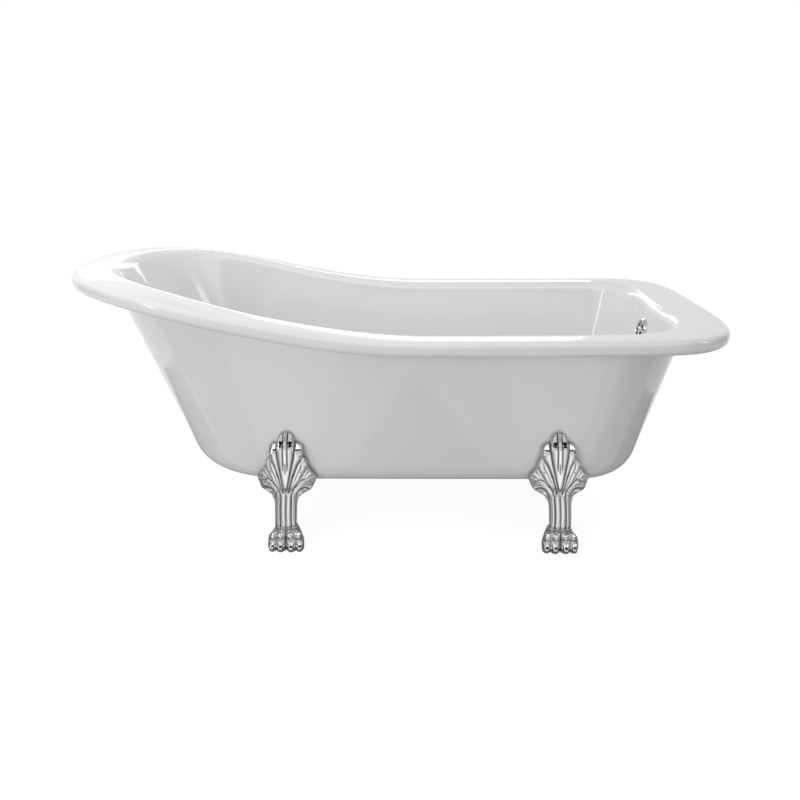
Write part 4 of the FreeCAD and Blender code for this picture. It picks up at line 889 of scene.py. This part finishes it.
def material_named(name):
    """One of the bath's materials, made when first asked for."""
    if name in bpy.data.materials:
        return bpy.data.materials[name]
    looks = bpy.context.scene.bath_finish
    acrylic, chrome = tuple(looks.acrylic), tuple(looks.chrome)
    worn, dull_chrome, bright_chrome = (
        tuple(share * c for c in color)
        for share, color in ((0.985, acrylic), (0.94, chrome), (0.97, chrome))
    )
    black, soft_black = (0.03, 0.03, 0.03), (0.055, 0.055, 0.055)
    # Two colours, then: roughness, its spread, broad and fine noise scales, share of the fine noise,
    # bump distance, metallic, stretch of the noise, painted shade in the grooves.
    recipes = {
        "white_acrylic": (acrylic, worn, 0.07, 0.03, 3, 90, 0.1, 0.0004),
        # The cast chrome paints shade into the grooves of its carving at three quarters strength.
        "cast_chrome": (chrome, dull_chrome, 0.05, 0.05, 60, 700, 0.3, 0.0002, 1.0, (1, 1, 1), 0.75),
        "fitting_chrome": (chrome, bright_chrome, 0.04, 0.05, 40, 900, 0.3, 0.00008, 1.0),
        "black_rubber": (black, soft_black, 0.7, 0.15, 30, 1400, 0.6, 0.0004),
        "black_nylon": ((0.035, 0.035, 0.038), (0.06, 0.06, 0.062), 0.45, 0.12, 25, 1200, 0.5, 0.0003),
        "zinc_steel": ((0.6, 0.61, 0.63), (0.5, 0.51, 0.55), 0.28, 0.2, 60, 1500, 0.5, 0.0002, 1.0),
        "turned_brass": (
            (0.72, 0.55, 0.26), (0.6, 0.44, 0.2), 0.25, 0.18, 50, 1200, 0.4, 0.0002, 1.0, (1, 1, 14),
        ),
        "grey_hose": (
            (0.62, 0.63, 0.64), (0.52, 0.53, 0.55), 0.42, 0.15, 20, 600, 0.4, 0.0005, 0.0, (1, 1, 3),
        ),
        "board_wood": (
            (0.62, 0.47, 0.29), (0.42, 0.29, 0.16), 0.6, 0.2, 7, 160, 0.35, 0.0006, 0.0, (1, 14, 14),
        ),
    }  # fmt: skip
    return moulded(name, *recipes[name])


# ---------------------------------------------------------------------------------------------
# Settings
# ---------------------------------------------------------------------------------------------


def length_setting(name, description, default):
    """A size that a user would change."""
    return FloatProperty(
        name=name, description=description, default=default, unit="LENGTH", subtype="DISTANCE"
    )


def color_setting(name, description, default):
    """A colour that a user would change."""
    return FloatVectorProperty(
        name=name, description=description, default=default, subtype="COLOR", size=3
    )


class BathSizes(PropertyGroup):
    """Main sizes of the bath."""

    length: length_setting("Length", "Overall length over the rim", 1.700)
    width: length_setting("Width", "Overall width over the rim", 0.750)
    low_rim: length_setting("Low rim", "Floor to the top of the rim at the tap end", 0.637)
    slipper_rise: length_setting("Slipper rise", "Climb of the rim to the head end", 0.125)
    base_height: length_setting("Base height", "Floor to the underside of the bath", 0.195)
    floor_height: length_setting("Well floor", "Floor to the floor of the well", 0.232)
    inner_thickness: length_setting("Inner skin", "Thickness of the well and rim", 0.005)
    outer_thickness: length_setting("Outer skin", "Thickness of the outer wall", 0.004)
    waste_x: length_setting("Waste", "Middle of the bath to the waste", 0.490)


class BathFinish(PropertyGroup):
    """Colours of the bath."""

    acrylic: color_setting("Acrylic", "Colour of the bath", (0.86, 0.862, 0.872))
    chrome: color_setting("Chrome", "Colour of the feet and fittings", (0.55, 0.556, 0.56))


# ---------------------------------------------------------------------------------------------
# Operators
# ---------------------------------------------------------------------------------------------


class BATH_OT_inner_skin(Operator):
    """Mould the well and rolled rim, with the overflow's hole"""

    bl_idname = "bath.inner_skin"
    bl_label = "Well and rim"

    def execute(self, context):
        sizes = context.scene.bath_sizes
        solid = skin(Shell(sizes).inner_levels(), sizes.inner_thickness, -1)
        finish = material_named("white_acrylic")
        thing = piece("well_and_rim", [solid], finish, BATH, ("inner_skin",))
        low, high = (np.array(corner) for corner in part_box("overflow_gasket"))
        cut_round(thing, (low + high) / 2, OVERFLOW_AXIS, OVERFLOW_RADIUS, 0.03)
        return {"FINISHED"}


class BATH_OT_outer_skin(Operator):
    """Mould the outer wall and base, with the hose's hole"""

    bl_idname = "bath.outer_skin"
    bl_label = "Outer wall"

    def execute(self, context):
        sizes = context.scene.bath_sizes
        solid = skin(Shell(sizes).outer_levels(), sizes.outer_thickness, 1)
        finish = material_named("white_acrylic")
        thing = piece("outer_wall", [solid], finish, BATH, ("outer_skin",))
        cut_round(thing, (HOSE_X, 0, sizes.base_height), (0, 0, 1), HOSE_HOLE_RADIUS, 0.02)
        return {"FINISHED"}


class BATH_OT_feet(Operator):
    """Carve the four claw feet"""

    bl_idname = "bath.feet"
    bl_label = "Claw feet"

    def execute(self, context):
        shell = Shell(context.scene.bath_sizes)
        for name in ("front_head", "front_tap", "rear_head", "rear_tap"):
            place = FootPlace(name, shell)
            # Each casting comes with its mask of painted shade in the grooves.
            casting, crease_shade = carving(place)
            finish = material_named("cast_chrome")
            solids = [casting, bracket(place)]
            piece(f"claw_foot_{name}", solids, finish, BATH, (f"foot_{name}",), crease_shade)
        return {"FINISHED"}


FINISH_OF_SLOT = {
    "foot_chrome": "cast_chrome",
    "fitting_chrome": "fitting_chrome",
    "rubber": "black_rubber",
    "nylon": "black_nylon",
    "steel": "zinc_steel",
    "brass": "turned_brass",
    "hose": "grey_hose",
    "board": "board_wood",
    "acrylic": "white_acrylic",
}


class BATH_OT_fittings(Operator):
    """Finish the pieces that keep their CAD shape"""

    bl_idname = "bath.fittings"
    bl_label = "Fittings and fixings"

    def execute(self, context):
        for entry in frame["record"]["subparts"]:
            thing = frame["nodes"][entry["node"]]
            finish = material_named(FINISH_OF_SLOT[entry["material_slot"]])
            if not thing.material_slots:
                thing.data.materials.append(finish)
            for place in thing.material_slots:
                place.material = finish
        return {"FINISHED"}


def blank_tree(owner):
    """An emptied node tree's ways to add a node and to link two sockets."""
    owner.use_nodes = True
    owner.node_tree.nodes.clear()
    return owner.node_tree.nodes.new, owner.node_tree.links.new


def glow_of(make, strength):
    """Output of a new white emission node."""
    glow = make("ShaderNodeEmission")
    glow.inputs["Color"].default_value = (1, 1, 1, 1)
    glow.inputs["Strength"].default_value = strength
    return glow.outputs["Emission"]


def matt_of(make, level):
    """Output of a new grey diffuse node."""
    matt = make("ShaderNodeBsdfDiffuse")
    matt.inputs["Color"].default_value = (level, level, level, 1)
    return matt.outputs["BSDF"]


def flat_sheet(name, corners, material):
    """A face with four corners and a material, linked to the scene."""
    mesh = bpy.data.meshes.new(name)
    mesh.from_pydata(corners, [], [(0, 1, 2, 3)])
    mesh.materials.append(material)
    sheet = bpy.data.objects.new(name, mesh)
    bpy.context.scene.collection.objects.link(sheet)
    return sheet


def emission_card(name, strength, corners):
    """A flat studio card that shines at a strength, seen only in reflections."""
    material = bpy.data.materials.new(name)
    make, link = blank_tree(material)
    link(glow_of(make, strength), make("ShaderNodeOutputMaterial").inputs["Surface"])
    card = flat_sheet(name, corners, material)
    card.visible_camera = card.visible_shadow = False
    card.visible_transmission = card.visible_diffuse = False


def floor_material():
    """White where it is seen, directly or in a reflection; plain grey to the light it passes on."""
    material = bpy.data.materials.new("studio_floor")
    make, link = blank_tree(material)
    path = make("ShaderNodeLightPath")
    seen = path.outputs["Is Camera Ray"]
    for kind in ("Is Glossy Ray", "Is Transmission Ray"):
        either = make("ShaderNodeMath")
        either.operation = "MAXIMUM"
        link(seen, either.inputs[0])
        link(path.outputs[kind], either.inputs[1])
        seen = either.outputs["Value"]
    shown = make("ShaderNodeAddShader")
    link(glow_of(make, FLOOR_GLOW), shown.inputs[0])
    link(matt_of(make, FLOOR_SHOWN), shown.inputs[1])
    mix = make("ShaderNodeMixShader")
    link(seen, mix.inputs[0])
    link(matt_of(make, FLOOR_LIT), mix.inputs[1])
    link(shown.outputs["Shader"], mix.inputs[2])
    link(mix.outputs["Shader"], make("ShaderNodeOutputMaterial").inputs["Surface"])
    return material


def light_world(world):
    """White to the camera and to reflections, half as bright to matt surfaces."""
    make, link = blank_tree(world)
    path = make("ShaderNodeLightPath")
    back = make("ShaderNodeBackground")
    back.inputs["Color"].default_value = (1, 1, 1, 1)
    strength = None
    for kind in ("Is Glossy Ray", "Is Camera Ray"):
        level = make("ShaderNodeMix")
        level.data_type = "FLOAT"
        level.inputs["A"].default_value = WORLD_LIGHT
        level.inputs["B"].default_value = 1.0
        link(path.outputs[kind], level.inputs["Factor"])
        if strength is not None:
            link(strength, level.inputs["A"])
        strength = level.outputs["Result"]
    link(strength, back.inputs["Strength"])
    link(back.outputs["Background"], make("ShaderNodeOutputWorld").inputs["Surface"])


def softbox(name, size, place, tilt, turn, power):
    """An area lamp with its tilt and turn in degrees, left out of reflections."""
    lamp_data = bpy.data.lights.new(name, "AREA")
    lamp_data.shape = "RECTANGLE"
    lamp_data.size, lamp_data.size_y = size
    lamp_data.energy = power
    lamp = bpy.data.objects.new(name, lamp_data)
    lamp.location = place
    lamp.rotation_euler = (math.radians(tilt), 0, math.radians(turn))
    lamp.visible_glossy = False
    bpy.context.scene.collection.objects.link(lamp)


def wall_card(left, right, near, low, far, high):
    """Corners of a card across the front of the studio, from (near, low) up to (far, high)."""
    return [(left, near, low), (right, near, low), (right, far, high), (left, far, high)]


def flat_card(height, *corners):
    """Corners of a card that lies level at a height."""
    return [(x, y, height) for x, y in corners]


def floor_wedge(x, y, bearings, reach):
    """Corners of a card spread over the floor from a foot, between two bearings from -Y, in degrees."""
    one, two = (math.radians(angle) for angle in bearings)
    return [
        (x, y, 0.004),
        (x + reach * math.tan(one), y - reach, 0.004),
        (x + reach * math.tan(two), y - reach, 0.004),
        (x, y - 0.001, 0.004),
    ]


FLOOR_REACH = 30
# The floor where it is seen shines and takes a faint shadow; to matt surfaces it is plain grey.
FLOOR_GLOW, FLOOR_SHOWN, FLOOR_LIT = 0.84, 0.42, 0.55
WORLD_LIGHT = 0.5
# Cards seen only in reflections: name, strength, corners.
CARDS = (
    ("bright_card", 1.9, wall_card(-4.5, 4.5, -4.45, 3.05, -2.9, 4.4)),
    ("left_strip", 6.0, [(-3.05, -2.8, 0.3), (-2.75, -3.1, 0.3), (-2.75, -3.1, 2.6), (-3.05, -2.8, 2.6)]),
    ("right_strip", 5.0, [(3.1, -1.7, 1.3), (3.1, -1.1, 1.3), (3.1, -1.1, 2.5), (3.1, -1.7, 2.5)]),
    ("back_strip", 5.0, [(-2.6, 3.4, 1.5), (1.4, 3.4, 1.5), (1.4, 3.4, 2.1), (-2.6, 3.4, 2.1)]),
    ("dark_card", 0.01, wall_card(-4.5, 4.5, -4.5, 1.7, -4.5, 2.95)),
    ("ceiling_card", 0.45, [(-5, -3.9, 4.45), (5, -3.9, 4.45), (5, 5, 4.45), (-5, 5, 4.45)]),
    ("left_flat", 0.3, [(-3.2, -3, 0.02), (-3.2, 1, 0.02), (-3.2, 1, 2.6), (-3.2, -3, 2.6)]),
    ("right_flat", 0.3, [(3.2, -3, 0.02), (3.2, 1, 0.02), (3.2, 1, 2.6), (3.2, -3, 2.6)]),
    ("left_foot_light", 1.6, floor_wedge(-0.285, -0.31, (-24, 3), 1.5)),
    ("right_foot_light", 1.6, floor_wedge(0.445, -0.31, (-3, 28), 1.5)),
    ("left_floor_card", 0.5, flat_card(0.003, (-0.33, -0.33), (-2.2, -0.33), (-2.2, -1.6), (-1.4, -1.6))),
    ("middle_floor_card", 0.5, flat_card(0.003, (-0.24, -0.33), (0.40, -0.33), (0.10, -1.0), (0.06, -1.0))),
    ("right_floor_card", 0.5, flat_card(0.003, (0.49, -0.33), (1.9, -1.6), (2.4, -1.6), (2.4, -0.33))),
    # Painted shadow: a dim sheet under the bath, seen only in reflections, stands in for the bath's shadow
    # on the floor.
    ("under_card", 0.25, flat_card(0.002, (-1.4, -0.3), (1.4, -0.3), (1.4, 0.3), (-1.4, 0.3))),
)


class BATH_OT_stage(Operator):
    """Lay the floor and set the camera, lamps and surroundings"""

    bl_idname = "bath.stage"
    bl_label = "Stage"

    def execute(self, context):
        scene = context.scene
        edge = FLOOR_REACH
        corners = [(-edge, -edge, 0), (edge, -edge, 0), (edge, edge, 0), (-edge, edge, 0)]
        floor = flat_sheet("studio_floor", corners, floor_material())
        scene.world = scene.world or bpy.data.worlds.new("studio")
        light_world(scene.world)
        softbox("overhead_softbox", (2.2, 1.8), (-0.8, -0.4, 2.4), 0, -10, 19)
        softbox("front_softbox", (2.2, 1.6), (-2.0, -2.9, 1.3), 74, -34, 28)
        for card in CARDS:
            emission_card(*card)

        camera_data = bpy.data.cameras.new("viewpoint")
        camera_data.sensor_width = 36
        camera_data.lens = 31.14
        camera_data.shift_y = -0.0217
        camera = bpy.data.objects.new("viewpoint", camera_data)
        camera.location = (0.0366, -1.9014, 1.1010)
        camera.rotation_euler = (math.radians(69.66), 0, math.radians(0.66))
        scene.collection.objects.link(camera)
        scene.camera = camera
        scene.view_settings.view_transform = "Standard"
        return {"FINISHED"}


class BATH_PT_panel(Panel):
    """The bath's sizes, colours and pieces"""

    bl_label = "Slipper bath"
    bl_idname = "BATH_PT_panel"
    bl_space_type = "VIEW_3D"
    bl_region_type = "UI"
    bl_category = "Bath"

    def draw(self, context):
        for group in (context.scene.bath_sizes, context.scene.bath_finish):
            for name in group.__annotations__:
                self.layout.prop(group, name)
        for operator in OPERATORS:
            self.layout.operator(operator.bl_idname)


SETTINGS = (BathSizes, BathFinish)
OPERATORS = (BATH_OT_inner_skin, BATH_OT_outer_skin, BATH_OT_feet, BATH_OT_fittings, BATH_OT_stage)


def register():
    """Make the settings, operators and panel known."""
    for thing in (*SETTINGS, *OPERATORS, BATH_PT_panel):
        bpy.utils.register_class(thing)
    bpy.types.Scene.bath_sizes = PointerProperty(type=BathSizes)
    bpy.types.Scene.bath_finish = PointerProperty(type=BathFinish)


def unregister():
    """Forget them again."""
    del bpy.types.Scene.bath_finish
    del bpy.types.Scene.bath_sizes
    for thing in (BATH_PT_panel, *OPERATORS[::-1], *SETTINGS[::-1]):
        bpy.utils.unregister_class(thing)


def main():
    """Build the bath and its stage."""
    register()
    bpy.ops.bath.inner_skin()
    bpy.ops.bath.outer_skin()
    bpy.ops.bath.feet()
    bpy.ops.bath.fittings()
    bpy.ops.bath.stage()


if __name__ == "__main__":
    main()
